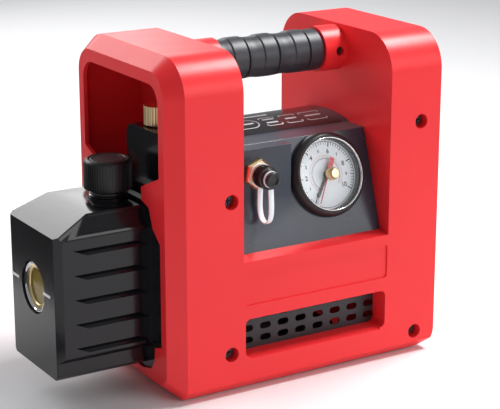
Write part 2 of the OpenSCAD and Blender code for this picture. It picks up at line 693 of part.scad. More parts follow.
module filler_cap() color([0.08, 0.08, 0.08]) translate([cap_x, 0, cap_z]) difference() {
    union() {
        linear_extrude(cap_h - 2) difference() {
            circle(cap_r);
            for (a = [0:10:350])
                rotate(a) translate([cap_r + 0.35, 0]) circle(r = 0.95, $fn = 16);
        }
        translate([0, 0, cap_h - 2.01]) cylinder(h = 2.01, r1 = cap_r - 0.7, r2 = cap_r - 2);
    }
    translate([0, 0, -1]) cylinder(h = 15, r = neck_r + 0.9 + move_gap);
    translate([0, 0, cap_h - 0.8]) difference() {
        cylinder(h = 2, r = cap_r - 4);
        translate([0, 0, -1]) cylinder(h = 4, r = cap_r - 5.4);
    }
}
module filler_seal() color("black") translate([cap_x, 0, casing_top_z + 18.05]) difference() {
    cylinder(h = 1.9 + cap_z - casing_top_z - 6.5 + 0.5, r = neck_r + 0.4);
    translate([0, 0, -1]) cylinder(h = 8, r = neck_r - 3);
}
module oil_mist_filter() color("beige") difference() {
    rod_x(end_x + 31, 22, 6.5, 0, casing_top_z - 13.2);
    rod_x(end_x + 30, 16, 3.5, 0, casing_top_z - 13.2);
}
module drain_plug() color("goldenrod") translate([end_x + 40, 0, casing_low_z]) difference() {
    union() {
        translate([0, 0, -4]) cylinder(h = 3.95, r = 8, $fn = 6);
        translate([0, 0, -1]) cylinder(h = casing_wall + 3, r = 5);
    }
    translate([0, 0, -5]) cylinder(h = 3, r = 2.6, $fn = 6);
}

// ---------- pump ----------
module pump_bracket() color("gray") difference() {
    union() {
        along_x(bracket_x, bracket_t) round_rect(-half_c - 16, half_c + 16, 36, 122, 8);
        rod_x(bracket_x, motor_x - bracket_x - 0.1, lantern_r);
        box(block_x, block_x + block_l, -16, 16, shaft_z + 20, block_z0 - 0.1);
    }
    rod_x(bracket_x + bracket_t, 60, lantern_r - 6);
    rod_x(bracket_x - 1, 12, shaft_r + 4.2);
    for (a = [45:90:315])
        translate([bracket_x + 26, 0, shaft_z]) rotate([a, 0, 0]) box(-8, 16, -10, 10, 20, 60);
    for (y = [-1, 1], z = [54, 106])
        rod_x(bracket_x - 1, 12, 2, y * (half_c + 11), z);
    at_pump_bolts(bracket_x - 1) cylinder(h = bracket_t - 1, r = pump_bolt_hole_r);
}
module intake_block() color([0.12, 0.12, 0.13]) difference() {
    along_x(block_x, block_l) {
        round_rect(block_y0, block_y1, block_z0 + 14, block_top, 10);
        translate([block_y0 + 14, block_z0]) square([block_y1 - block_y0 - 22, 30]);
    }
    translate([block_x + block_l / 2, -4, block_top - 12]) cylinder(h = 20, r = 4 + move_gap);
    rod_x(block_x + 10, 30, 3, 0, port_z);
    translate([block_x + block_l / 2, 0, block_z0 - 1]) cylinder(h = port_z - block_z0, r = 3);
}
module ballast_knob() color("darkgoldenrod") translate([block_x + block_l / 2, -4, block_top]) {
    translate([0, 0, -10]) cylinder(h = 12, r = 4);
    translate([0, 0, 1]) linear_extrude(14) difference() {
        circle(9.5);
        for (a = [0:15:345])
            rotate(a) translate([9.9, 0]) circle(r = 0.8, $fn = 16);
    }
}
// Places children on the four bolts of the pump, along X from x
module at_pump_bolts(x) for (a = [45:90:315])
    translate([x, pump_bolt_r * cos(a), shaft_z + pump_bolt_r * sin(a)]) rotate([0, 90, 0]) children();
module screw_holes() at_pump_bolts(end_plate_x - 1) cylinder(h = bracket_x - end_plate_x + 1, r = pump_bolt_hole_r);
module pump_screws() color("silver") at_pump_bolts(end_plate_x) {
    cylinder(h = bracket_x - end_plate_x + 5, r = pump_bolt_hole_r - run_gap);
    translate([0, 0, -3]) cylinder(h = 2.95, r = 3.6);
}
// Rings whose bores stand off the shaft's centre, so that a rotor nearly touches them at the top
module stage_cylinders() color("lightsteelblue") difference() {
    for (p = stages)
        rod_x(p[0] + 0.02, p[1] - 0.04, cyl_r);
    for (p = stages)
        rod_x(p[0] - 1, p[1] + 2, cyl_bore_r, 0, shaft_z - offset_e);
    screw_holes();
}
module pump_plates() color("slategray") difference() {
    union() {
        rod_x(mid_x, mid_plate_t, cyl_r);
        rod_x(end_plate_x, end_plate_t, cyl_r);
    }
    rod_x(end_plate_x + 2, bracket_x - end_plate_x, shaft_r + run_gap);
    screw_holes();
}
module exhaust_valve() color("silver") {
    box(stage2_x + 2, stage2_x + 12, -6, 6, shaft_z + cyl_r + 0.1, shaft_z + cyl_r + 0.9);
    for (x = [stage2_x + 3.6, stage2_x + 10.4])
        translate([x, 0, shaft_z + cyl_r + 0.95]) cylinder(h = 1.6, r = 2);
}
module shaft_seal() color("black") tube_x(bracket_x + 0.1, bracket_t - 0.2, shaft_r + 4.1, shaft_r + run_gap);
// Places children in the two vane slots of each stage
module in_slots() for (p = stages, a = [0, 180])
    translate([p[0], 0, shaft_z]) rotate([a, 0, 0]) let ($len = p[1]) children();
// Rotor blocks on the pump shaft, slotted for two vanes each
module pump_rotor() color("steelblue") difference() {
    union() {
        for (p = stages)
            rod_x(p[0] + side_gap, p[1] - 2 * side_gap, rotor_r);
        rod_x(end_plate_x + 2.3, coupling_x + hub_l - 4 - end_plate_x - 2.3, shaft_r);
    }
    in_slots() box(-1, $len + 1, -vane_t / 2 - 0.1, vane_t / 2 + 0.1, 10, rotor_r + 1);
}
module vanes() color("dimgray") in_slots() box(0.5, $len - 0.5, -vane_t / 2, vane_t / 2, 13, rotor_r - 0.1);
module vane_springs() color("silver") in_slots() for (k = [0.3, 0.7]) {
    translate([$len * k, 0, 10.1]) cylinder(h = 1.4, r = 1.3);
    translate([$len * k, 0, 11.5]) cylinder(h = 1.3, r = 1);
}
// Jaw hub on each shaft end; the jaws meet in the rubber spider
module shaft_coupling() color("silver") {
    tube_x(coupling_x, hub_l, 17, shaft_r);
    tube_x(motor_shaft_x, 12.6, 17, motor_shaft_r);
    for (a = [0:120:240]) {
        translate([coupling_x + hub_l, 0, shaft_z]) rotate([a, 0, 0]) box(-0.5, 8, -4, 4, 9, 15);
        translate([motor_shaft_x, 0, shaft_z]) rotate([a + 60, 0, 0]) box(-8, 0.5, -4, 4, 9, 15);
    }
}
module coupling_spider() color("orangered") difference() {
    rod_x(coupling_x + hub_l + 0.2, spider_t - 0.4, 15);
    rod_x(coupling_x + hub_l - 1, spider_t + 2, 4);
    for (a = [0:60:300])
        translate([coupling_x + hub_l, 0, shaft_z]) rotate([a, 0, 0]) box(-1, spider_t + 1, -4.1, 4.1, 8.9, 17);
}

// ---------- motor ----------
module motor_frame() color("dimgray") tube_x(frame_x, motor_l - 2 * bell_t, motor_r, motor_r - 3);
module motor_bells() color("darkgray") for (s = [0, 1]) {
    x = s == 0 ? motor_x : end_bell_x + 0.05;
    difference() {
        rod_x(x, bell_t - 0.05, motor_r);
        rod_x(s == 0 ? x + 3 : x - 1, 8 + s, 13.05);
        rod_x(x - 1, 20, 9);
        rod_x(s == 0 ? x + 7 : x - 1, 5, motor_r - 8);
    }
}
module motor_stator() color("silver") difference() {
    rod_x(stator_x, stator_l, motor_r - 3.05);
    rod_x(stator_x - 1, stator_l + 2, 25);
}
module motor_windings() color("orange") for (x = [stator_x - 12, stator_x + stator_l + 0.1])
    tube_x(x, 11.9, motor_r - 6, 28);
module motor_bearings() color("lightgray") for (x = [motor_x + 3, end_bell_x + 0.05])
    tube_x(x, 6.9, 13, motor_shaft_r + run_gap);
module motor_rotor() color("gray") {
    rod_x(motor_shaft_x, fan_x + fan_t - 2 - motor_shaft_x, motor_shaft_r);
    rod_x(stator_x, stator_l, 25 - move_gap);
}
module fan() color([0.15, 0.15, 0.15]) {
    difference() {
        union() {
            rod_x(fan_x, fan_t, 14);
            rod_x(fan_x, 1.6, fan_r);
            for (a = [0:40:320])
                translate([fan_x, 0, shaft_z]) rotate([a, 0, 0]) box(1, fan_t - 1, -1, 1, 12, fan_r - 1);
        }
        rod_x(fan_x - 1, fan_t + 2, motor_shaft_r);
    }
}
module motor_base() color("darkslategray") {
    box(motor_x + 4, end_bell_x + 4, -34, 34, 20, 22);
    for (x = [motor_x + 16, end_bell_x - 18])
        difference() {
            along_x(x, 4) polygon([[-30, 21.5], [30, 21.5], [34, 60], [-34, 60]]);
            rod_x(x - 1, 6, motor_r + 0.05);
        }
}
module rubber_mounts() color("black") for (x = [motor_x + 12, end_bell_x - 8], y = [-26, 26])
    translate([x, y, base_z + wall + 0.1]) cylinder(h = 20 - base_z - wall - 0.15, r = 8);
module run_capacitor() color("whitesmoke") {
    rod_x(gap_l + 24, 52, 15, 26, 152);
    rod_x(gap_l + 22, 2.1, 12, 26, 152);
}

// ---------- switch and power socket ----------
module switch_frame() color([0.08, 0.08, 0.08]) difference() {
    union() {
        box(switch_x - 14, switch_x + 14, half_d + 0.05, half_d + 2, rear_panel_z - 18, rear_panel_z + 18);
        box(switch_x - 11.2, switch_x + 11.2, half_d - 20, half_d + 1, rear_panel_z - 15.2, rear_panel_z + 15.2);
    }
    box(switch_x - 8.9, switch_x + 8.9, half_d - 12, half_d + 4, rear_panel_z - 13.6, rear_panel_z + 13.6);
}
// Rocker, tilted to off; it turns about X
module switch_rocker() color("red") translate([0, rocker_y, rear_panel_z]) rotate([rocker_tilt, 0, 0])
    along_x(switch_x - 8.4, 16.8) polygon([[6, 12], [4.2, 0], [6, -12], [-3, -9], [-5, 0], [-3, 9]]);
module power_socket() color([0.08, 0.08, 0.08]) difference() {
    union() {
        box(socket_x - 25, socket_x + 25, half_d + 0.05, half_d + 2, rear_panel_z - 14.5, rear_panel_z + 14.5);
        box(socket_x - 14.2, socket_x + 14.2, half_d - 22, half_d + 1, rear_panel_z - 12.2, rear_panel_z + 12.2);
    }
    // recess round the three blades
    difference() {
        box(socket_x - 12, socket_x + 12, half_d - 17, half_d + 4, rear_panel_z - 8, rear_panel_z + 8);
        for (p = [[-7, -3], [0, 2], [7, -3]])
            box(socket_x + p[0] - 1, socket_x + p[0] + 1, half_d - 18, half_d - 6, rear_panel_z + p[1] - 2, rear_panel_z + p[1] + 2);
    }
    for (x = [socket_x - 20, socket_x + 20])
        rod_y(half_d - 1, 6, 1.7, x, rear_panel_z);
}

front_shell();
rear_shell();
shell_screws();
rubber_feet();
handle_grip();
handle_core();
handle_screws();
console_cover();
vent_grille();
fan_cover();
gauge_case();
gauge_bezel();
gauge_dial();
gauge_lens();
gauge_pointer();
gauge_set_hand();
gauge_pipe();
inlet_port();
inlet_nut();
inlet_manifold();
inlet_cap();
cap_seal();
cap_strap();
suction_tube();
oil_casing();
casing_gasket();
casing_screws();
sight_ring();
sight_glass();
sight_seal();
filler_cap();
filler_seal();
oil_mist_filter();
drain_plug();
pump_bracket();
intake_block();
ballast_knob();
stage_cylinders();
pump_plates();
pump_screws();
exhaust_valve();
shaft_seal();
pump_rotor();
vanes();
vane_springs();
shaft_coupling();
coupling_spider();
motor_frame();
motor_bells();
motor_stator();
motor_windings();
motor_bearings();
motor_rotor();
fan();
motor_base();
rubber_mounts();
run_capacitor();
switch_frame();
switch_rocker();
power_socket();
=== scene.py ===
# %% [markdown]
# # A portable rotary vane vacuum pump
# The pump is a carrying housing of two red half shells with a rubber handle, a black console with a
# vacuum gauge and a capped inlet port, and an enamelled oil casing that stands out at one end.
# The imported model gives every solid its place. This script dresses it: rounded edges, real
# finishes, and the small pieces that only show.

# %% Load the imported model
import json
import math
import sys

import bmesh
import bpy
from mathutils import Matrix, Vector
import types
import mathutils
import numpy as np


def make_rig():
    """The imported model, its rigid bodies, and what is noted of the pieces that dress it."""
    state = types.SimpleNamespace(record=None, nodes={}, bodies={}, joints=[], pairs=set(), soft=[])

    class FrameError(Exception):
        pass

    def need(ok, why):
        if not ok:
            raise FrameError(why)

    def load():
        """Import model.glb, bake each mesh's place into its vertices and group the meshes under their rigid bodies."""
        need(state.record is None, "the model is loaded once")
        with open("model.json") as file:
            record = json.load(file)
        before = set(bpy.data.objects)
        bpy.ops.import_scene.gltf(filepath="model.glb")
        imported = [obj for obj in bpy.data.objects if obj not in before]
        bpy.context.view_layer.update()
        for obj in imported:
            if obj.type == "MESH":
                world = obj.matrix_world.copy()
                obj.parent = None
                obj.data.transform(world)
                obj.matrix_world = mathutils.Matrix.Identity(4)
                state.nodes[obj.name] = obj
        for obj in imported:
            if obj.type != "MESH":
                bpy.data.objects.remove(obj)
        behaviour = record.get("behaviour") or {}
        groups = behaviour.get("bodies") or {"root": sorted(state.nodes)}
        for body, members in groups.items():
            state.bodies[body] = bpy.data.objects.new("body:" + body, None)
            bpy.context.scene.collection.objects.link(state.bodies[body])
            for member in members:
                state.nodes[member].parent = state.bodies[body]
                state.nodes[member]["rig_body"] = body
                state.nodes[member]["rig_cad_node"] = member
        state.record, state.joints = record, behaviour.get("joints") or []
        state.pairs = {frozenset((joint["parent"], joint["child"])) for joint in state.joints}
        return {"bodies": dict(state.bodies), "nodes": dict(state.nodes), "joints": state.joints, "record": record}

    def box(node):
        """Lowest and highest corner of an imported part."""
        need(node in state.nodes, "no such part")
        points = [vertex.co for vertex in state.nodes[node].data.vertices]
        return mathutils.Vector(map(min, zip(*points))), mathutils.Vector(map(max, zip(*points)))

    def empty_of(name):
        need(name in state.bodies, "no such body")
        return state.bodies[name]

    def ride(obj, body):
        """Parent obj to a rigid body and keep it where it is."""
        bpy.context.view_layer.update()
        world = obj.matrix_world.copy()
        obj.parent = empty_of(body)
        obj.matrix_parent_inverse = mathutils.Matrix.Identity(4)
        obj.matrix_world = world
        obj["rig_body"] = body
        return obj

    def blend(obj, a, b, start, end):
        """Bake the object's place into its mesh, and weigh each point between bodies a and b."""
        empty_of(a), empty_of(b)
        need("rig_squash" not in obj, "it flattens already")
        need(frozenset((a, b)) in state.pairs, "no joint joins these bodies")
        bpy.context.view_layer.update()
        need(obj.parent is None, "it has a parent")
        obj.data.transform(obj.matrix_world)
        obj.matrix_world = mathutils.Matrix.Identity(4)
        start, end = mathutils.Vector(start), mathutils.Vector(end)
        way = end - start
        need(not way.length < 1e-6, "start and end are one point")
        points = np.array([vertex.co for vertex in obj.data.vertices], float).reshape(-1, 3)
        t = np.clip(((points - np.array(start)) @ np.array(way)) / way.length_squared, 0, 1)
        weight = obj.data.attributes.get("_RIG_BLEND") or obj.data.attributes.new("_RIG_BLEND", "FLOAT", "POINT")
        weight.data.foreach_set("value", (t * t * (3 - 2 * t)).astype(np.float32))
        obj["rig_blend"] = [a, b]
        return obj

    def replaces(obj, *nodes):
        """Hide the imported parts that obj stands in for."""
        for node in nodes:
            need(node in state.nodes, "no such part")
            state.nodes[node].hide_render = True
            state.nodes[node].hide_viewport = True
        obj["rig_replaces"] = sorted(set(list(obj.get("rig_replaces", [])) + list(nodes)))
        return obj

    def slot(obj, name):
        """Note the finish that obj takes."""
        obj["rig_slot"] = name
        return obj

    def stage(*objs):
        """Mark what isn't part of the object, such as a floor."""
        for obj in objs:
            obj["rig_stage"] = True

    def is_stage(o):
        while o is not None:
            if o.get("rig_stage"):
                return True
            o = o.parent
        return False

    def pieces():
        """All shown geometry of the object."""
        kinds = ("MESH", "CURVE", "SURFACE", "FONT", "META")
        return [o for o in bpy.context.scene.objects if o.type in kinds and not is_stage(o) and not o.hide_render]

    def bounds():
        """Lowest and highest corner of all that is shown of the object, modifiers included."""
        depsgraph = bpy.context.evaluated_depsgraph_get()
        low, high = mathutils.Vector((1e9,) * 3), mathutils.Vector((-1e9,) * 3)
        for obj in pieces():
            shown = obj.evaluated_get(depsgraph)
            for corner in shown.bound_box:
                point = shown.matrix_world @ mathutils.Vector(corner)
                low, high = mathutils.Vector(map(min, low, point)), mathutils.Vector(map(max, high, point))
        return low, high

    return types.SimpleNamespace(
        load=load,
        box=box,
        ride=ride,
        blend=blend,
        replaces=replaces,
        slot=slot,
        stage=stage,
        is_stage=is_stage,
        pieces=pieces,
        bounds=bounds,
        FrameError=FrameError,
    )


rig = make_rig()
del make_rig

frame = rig.load()
solid_box = [list(corner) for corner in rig.bounds()]
scene = bpy.context.scene
print(len(frame["nodes"]), "solids on", len(frame["bodies"]), "bodies, box", solid_box)

# %% [markdown]
# ## Camera
# A long lens from the front left and a little above shows the oil casing's end, the front and the
# tops together, with little perspective. The camera is aimed by a yaw and a pitch, as a tripod head is.

# %% Place the camera
CAMERA_PLACE = Vector((-0.60055, -1.01758, 0.46868))
CAMERA_YAW, CAMERA_PITCH = math.radians(31.52), math.radians(-16.44)
LENS_MM, SENSOR_MM = 117.45, 36.0
camera = bpy.data.objects.new("camera", bpy.data.cameras.new("camera"))
scene.collection.objects.link(camera)
aim = Vector((math.sin(CAMERA_YAW) * math.cos(CAMERA_PITCH),
              math.cos(CAMERA_YAW) * math.cos(CAMERA_PITCH), math.sin(CAMERA_PITCH)))
camera.location = CAMERA_PLACE
camera.rotation_mode = "QUATERNION"
camera.rotation_quaternion = aim.to_track_quat("-Z", "Y")
camera.data.lens = LENS_MM
camera.data.sensor_width = SENSOR_MM
camera.data.clip_start, camera.data.clip_end = 0.05, 60
scene.camera = camera
print("camera looks along", [round(c, 3) for c in aim])

# %% [markdown]
# ## Light
# Shiny dark plastic shows its shape by what it mirrors. One wide softbox behind and above gives the
# slanted faces their bright sheen, one at the front right lights the red face, one overhead draws the
# thin lines along the upper edges, and a pale sky fills the rest.

# %% Hang the lights
LIT_POINT = Vector((0.03, 0.0, 0.12))
SKY_COLOUR, SKY_STRENGTH = (0.96, 0.97, 1.0, 1), 0.30


def softbox(name, place, size, watts):
    """A rectangular area light that faces the pump and isn't seen itself."""
    light = bpy.data.lights.new(name, "AREA")
    light.shape = "RECTANGLE"
    light.size, light.size_y = size
    light.energy = watts
    lamp = bpy.data.objects.new(name, light)
    scene.collection.objects.link(lamp)
    lamp.location = place
    lamp.rotation_mode = "QUATERNION"
    lamp.rotation_quaternion = (LIT_POINT - Vector(place)).to_track_quat("-Z", "Y")
    lamp.visible_camera = False


softbox("back_softbox", (-0.15, 1.35, 0.9), (2.0, 0.75), 16)
softbox("front_softbox", (0.75, -1.55, 0.7), (1.2, 0.8), 9)
softbox("top_softbox", (0.62, -0.12, 1.15), (0.52, 0.3), 17)
world = bpy.data.worlds.new("studio")
world.use_nodes = True
world.node_tree.nodes["Background"].inputs["Color"].default_value = SKY_COLOUR
world.node_tree.nodes["Background"].inputs["Strength"].default_value = SKY_STRENGTH
scene.world = world
scene.view_settings.view_transform = "Standard"
print("three softboxes and a pale sky")

# %% [markdown]
# ## Writing finishes as sums
# A finish is a small program of nodes. Wiring Math nodes by hand is slow to read, so one class wraps
# an output socket and lets Python's own operators add the nodes.

# %% The class that turns sums into nodes
class Wire:
    """An output socket that adds Math nodes to its tree when it is used in a sum."""

    def __init__(self, socket):
        self.socket = socket

    def math(self, operation, *values):
        tree = self.socket.id_data
        return add(tree, "ShaderNodeMath", {"operation": operation}, dict(enumerate(values)))

    def __add__(self, other):
        return self.math("ADD", self, other)

    def __sub__(self, other):
        return self.math("SUBTRACT", self, other)

    def __rsub__(self, other):
        return self.math("SUBTRACT", other, self)

    def __mul__(self, other):
        return self.math("MULTIPLY", self, other)

    __radd__, __rmul__ = __add__, __mul__


def add(tree, kind, settings=None, inputs=None, out=0):
    """Adds a node: its settings first, then the values or wires of its inputs. Returns one output."""
    node = tree.nodes.new(kind)
    for key, value in (settings or {}).items():
        setattr(node, key, value)
    for key, value in (inputs or {}).items():
        if isinstance(value, Wire):
            tree.links.new(value.socket, node.inputs[key])
        else:
            node.inputs[key].default_value = value
    return Wire(node.outputs[out])


print("sums of wires become nodes")

# %% [markdown]
# ## What a finish is made of
# A finish keeps its material, its shader and its own colour, with short words for the three patterns
# that the pump's finishes share: soft clouds of shade, noise, and relief that bends the light. All of
# them read the piece's own coordinates, so they stay put when the piece moves.

# %% The class of a finish
class Finish:
    """A material with its shader, and short words for the patterns that finishes are made of."""

    def __init__(self, name, colour, roughness, metallic=0.0, **constants):
        self.material = bpy.data.materials.new(name)
        self.material.use_nodes = True
        self.tree = self.material.node_tree
        self.shader = self.tree.nodes["Principled BSDF"]
        self.colour = (*colour, 1)
        self.set("Base Color", self.colour)
        self.set("Roughness", roughness)
        self.set("Metallic", metallic)
        for key, value in constants.items():
            self.set(key.replace("_", " "), value)
        self.place = self.add("ShaderNodeTexCoord", out="Object")

    def add(self, kind, settings=None, inputs=None, out=0):
        return add(self.tree, kind, settings, inputs, out)

    def set(self, socket, value):
        if isinstance(value, Wire):
            self.tree.links.new(value.socket, self.shader.inputs[socket])
        else:
            self.shader.inputs[socket].default_value = value

    def noise(self, scale, detail=2.0, stretch=(1, 1, 1)):
        place = self.add("ShaderNodeMapping", {}, {"Vector": self.place, "Scale": stretch})
        return self.add("ShaderNodeTexNoise", {}, {"Vector": place, "Scale": scale, "Detail": detail})

    def mix(self, factor, first, second):
        """Between two colours, first where factor is 0."""
        return self.add("ShaderNodeMix", {"data_type": "RGBA"}, {0: factor, 6: first, 7: second}, 2)

    def shades(self, amount, scale, stretch=(1, 1, 1)):
        """The finish's colour, darker and lighter by amount in soft clouds."""
        dark = tuple(c * (1 - amount) for c in self.colour[:3]) + (1,)
        light = tuple(min(1.0, c * (1 + amount)) for c in self.colour[:3]) + (1,)
        return self.mix(self.noise(scale, 2.0, stretch), dark, light)

    def relief(self, height, strength, distance, normal=None):
        """Bumps of a height in metres, laid over another relief if normal is given."""
        inputs = {"Height": height, "Strength": strength, "Distance": distance}
        if normal is not None:
            inputs["Normal"] = normal
        return self.add("ShaderNodeBump", {}, inputs)


print("a finish is ready to be named")

# %% [markdown]
# ## Moulded plastic and enamel
# Moulded ABS isn't a mirror: its skin has a faint orange peel a few millimetres across and a fine
# spark-eroded grain, which spreads highlights. Sprayed enamel is smoother and has longer waves.

# %% Plastics, rubber and enamel
def moulded(name, colour, roughness, grain=0.12, waves=0.10, shade=0.05, **constants):
    """Plastic with faint clouds of colour, soft waves and a fine grain."""
    f = Finish(name, colour, roughness, **constants)
    f.set("Base Color", f.shades(shade, 14))
    f.set("Roughness", roughness - 0.04 + 0.08 * f.noise(60, 3))
    wavy = f.relief(f.noise(190, 1), waves, 0.0004)
    f.set("Normal", f.relief(f.noise(2600, 1), grain, 0.00006, wavy))
    return f.material


red_plastic = moulded("red_plastic", (0.90, 0.030, 0.036), 0.34, Specular_IOR_Level=0.32)
black_plastic = moulded("black_plastic", (0.012, 0.012, 0.014), 0.34, grain=0.3)
console_plastic = moulded("console_plastic", (0.034, 0.042, 0.062), 0.26, grain=0.15)
black_cast = moulded("black_cast", (0.006, 0.006, 0.008), 0.16, grain=0.03, waves=0.12,
                     Specular_IOR_Level=0.42)
grille_steel = moulded("grille_steel", (0.02, 0.021, 0.025), 0.42, grain=0.25)
rubber = moulded("rubber", (0.026, 0.028, 0.035), 0.42, grain=0.6, waves=0.05)
seal_rubber = moulded("seal_rubber", (0.012, 0.012, 0.013), 0.6, grain=0.4)
orange_rubber = moulded("orange_rubber", (0.62, 0.14, 0.02), 0.55, grain=0.3)
strap_white = moulded("strap_white", (0.86, 0.89, 0.92), 0.25, grain=0.05)
red_rocker = moulded("red_rocker", (0.70, 0.02, 0.02), 0.2, grain=0.02)
pointer_black = moulded("pointer_black", (0.01, 0.01, 0.01), 0.4)
pointer_red = moulded("pointer_red", (0.72, 0.02, 0.03), 0.35)
graphite = moulded("graphite", (0.05, 0.05, 0.055), 0.38, grain=0.5)
dial_white = moulded("dial_white", (0.84, 0.91, 0.95), 0.35, grain=0.02, waves=0.0, shade=0.01)
dial_ink = moulded("dial_ink", (0.02, 0.02, 0.025), 0.5, grain=0.02, waves=0.0)
white_paint = moulded("white_paint", (0.85, 0.85, 0.86), 0.4, grain=0.02, waves=0.0)
crinkled = moulded("crinkled", (0.03, 0.03, 0.034), 0.42, grain=0.0, waves=1.0)
felt = moulded("felt", (0.75, 0.71, 0.60), 0.95, grain=1.0, waves=1.0)
gasket_fibre = moulded("gasket_fibre", (0.28, 0.15, 0.07), 0.8, grain=0.8, shade=0.2)
print("moulded finishes are made")


# %% [markdown]
# ## Metals
# Turned and drawn metal has fine marks along the way it was worked, so the noise is stretched that
# way. Cast metal is grainy all over, and plating has soft cloudy patches.

# %% Metals and glass
def worked(name, colour, roughness, stretch=(1, 1, 1), scale=900, marks=0.2, clouds=0.08):
    """Metal with fine marks along one way and cloudy shades."""
    f = Finish(name, colour, roughness, 1.0)
    lines = f.noise(scale, 3, stretch)
    f.set("Base Color", f.shades(clouds, 40))
    f.set("Roughness", roughness - 0.06 + 0.12 * lines)
    f.set("Normal", f.relief(lines, marks, 0.00008))
    return f.material


brass = worked("brass", (0.83, 0.66, 0.38), 0.3, (1, 0.1, 1))
copper = worked("copper", (0.80, 0.42, 0.27), 0.28, (1, 0.1, 1))
zinc_steel = worked("zinc_steel", (0.62, 0.62, 0.64), 0.32)
dark_steel = worked("dark_steel", (0.09, 0.09, 0.10), 0.36)
polished_steel = worked("polished_steel", (0.80, 0.80, 0.81), 0.08, marks=0.02, clouds=0.02)
aluminium = worked("aluminium", (0.66, 0.67, 0.69), 0.36, (1, 1, 0.1))
cast_grey = worked("cast_grey", (0.20, 0.20, 0.21), 0.55, marks=0.9, scale=500)
winding_enamel = worked("winding_enamel", (0.55, 0.22, 0.07), 0.3, (0.2, 1, 1), 700, 1.0, 0.25)


def glassy(name, colour, roughness, alpha):
    """Glass, or oil seen through it: a glossy skin that lets part of what is behind show."""
    f = Finish(name, colour, roughness, Alpha=alpha)
    f.set("Roughness", roughness + 0.03 * f.noise(200, 2))
    return f.material


lens_clear = glassy("lens_clear", (0.95, 0.97, 1.0), 0.02, 0.06)
oil_glass = glassy("oil_glass", (0.34, 0.24, 0.04), 0.05, 0.6)
print("metals and glass are made")

# %% [markdown]
# ## A finish for every solid
# Each solid already carries the name of its material slot, and most finishes have a slot's name. All
# the solids get their finish here, and many are then replaced by finer shapes.

# %% Give every solid its finish
FINISHES = {name: value for name, value in list(globals().items())
            if isinstance(value, bpy.types.Material)}
FINISHES["fibre"], FINISHES["gasket_brown"] = felt, gasket_fibre
slot_of = {row["node"]: row["material_slot"] for row in frame["record"]["subparts"]}
for node, solid in frame["nodes"].items():
    for material_slot in solid.material_slots:
        material_slot.material = FINISHES[slot_of[node]]
print(len(slot_of), "solids have a finish")

# %% [markdown]
# ## Rounded edges
# No real moulding or casting has a knife edge, and the thin highlight along an edge tells the eye
# that a thing is real. A copy of the solid is merged, its flat faces joined, and its edges rounded
# with a Bevel modifier. Normals weighted by area keep the large faces flat. The copy stands for the
# solid.

# %% Round the edges of a solid
MERGE_WITHIN, FLAT_WITHIN, SHARP_FROM = 2e-6, math.radians(0.4), math.radians(35)


def settle(piece):
    """Turns what the modifiers make into the piece's own plain mesh."""
    bpy.context.view_layer.update()
    seen = piece.evaluated_get(bpy.context.evaluated_depsgraph_get())
    made = bpy.data.meshes.new_from_object(seen)
    made.name = piece.name
    piece.modifiers.clear()
    piece.data = made
    return piece


def rounded(node, width):
    """A copy of a solid with edges rounded width metres wide, which stands for it."""
    skin = bpy.data.meshes.new(node + "_skin")
    mesh = bmesh.new()
    mesh.from_mesh(frame["nodes"][node].data)
    bmesh.ops.remove_doubles(mesh, verts=mesh.verts, dist=MERGE_WITHIN)
    bmesh.ops.dissolve_limit(mesh, angle_limit=FLAT_WITHIN, verts=mesh.verts, edges=mesh.edges)
    for face in mesh.faces:
        face.smooth = True
        face.material_index = 0
    mesh.to_mesh(skin)
    mesh.free()
    piece = bpy.data.objects.new(node + "_skin", skin)
    scene.collection.objects.link(piece)
    skin.materials.clear()
    skin.materials.append(FINISHES[slot_of[node]])
    bevel = piece.modifiers.new("bevel", "BEVEL")
    bevel.width, bevel.segments, bevel.limit_method = width, 2, "ANGLE"
    bevel.angle_limit = SHARP_FROM
    bevel.miter_outer = "MITER_ARC"
    flat = piece.modifiers.new("flat", "WEIGHTED_NORMAL")
    flat.mode, flat.weight, flat.keep_sharp = "FACE_AREA", 100, True
    settle(piece)
    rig.replaces(piece, node)
    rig.slot(piece, slot_of[node])
    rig.ride(piece, frame["nodes"][node]["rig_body"])
    print(node, "has", len(piece.data.polygons), "faces")


EDGES = {"front_shell": 0.0010, "rear_shell": 0.0010, "console_cover": 0.0014,
         "oil_casing": 0.0014, "vent_grille": 0.0003, "fan_cover": 0.0008, "intake_block": 0.0015,
         "inlet_port": 0.0003, "ballast_knob": 0.0003, "switch_frame": 0.0006,
         "switch_rocker": 0.0005, "power_socket": 0.0005, "shell_screws": 0.00025,
         "handle_screws": 0.00025, "drain_plug": 0.0003, "rubber_feet": 0.0003}
for node, width in EDGES.items():
    rounded(node, width)

# %% [markdown]
# ## Turned pieces
# Bezels, knobs and rings are turned on a lathe. Their outline is drawn as distance from the axis and
# height along it, its corners are eased, and it is swept round. A joint of the pump gives each turned
# piece its axis, so a piece is drawn upright at the origin and then seated.

# %% A lathe, and the seats it turns on
joints = {joint["name"]: joint for joint in frame["joints"]}
MM = 0.001


def seat(joint):
    """The matrix that stands a piece drawn along +Z on a joint's axis."""
    along = Vector(joints[joint]["axis"]).normalized()
    across = Vector((1, 0, 0))
    across = (across - along * across.dot(along)).normalized()
    up = along.cross(across)
    turn = Matrix((across, up, along)).transposed().to_4x4()
    return Matrix.Translation(joints[joint]["pos_m"]) @ turn


def eased(outline, ease, steps=3):
    """A closed outline with each corner rounded by about ease."""
    soft = []
    for k, corner in enumerate(outline):
        corner = Vector(corner)
        before = Vector(outline[k - 1]) - corner
        after = Vector(outline[(k + 1) % len(outline)]) - corner
        if corner.x < 1e-6:
            soft.append(tuple(corner))
            continue
        start = corner + before.normalized() * min(ease, before.length * 0.45)
        end = corner + after.normalized() * min(ease, after.length * 0.45)
        for i in range(steps + 1):
            t = i / steps
            soft.append(tuple(start * (1 - t) ** 2 + corner * 2 * t * (1 - t) + end * t * t))
    return soft


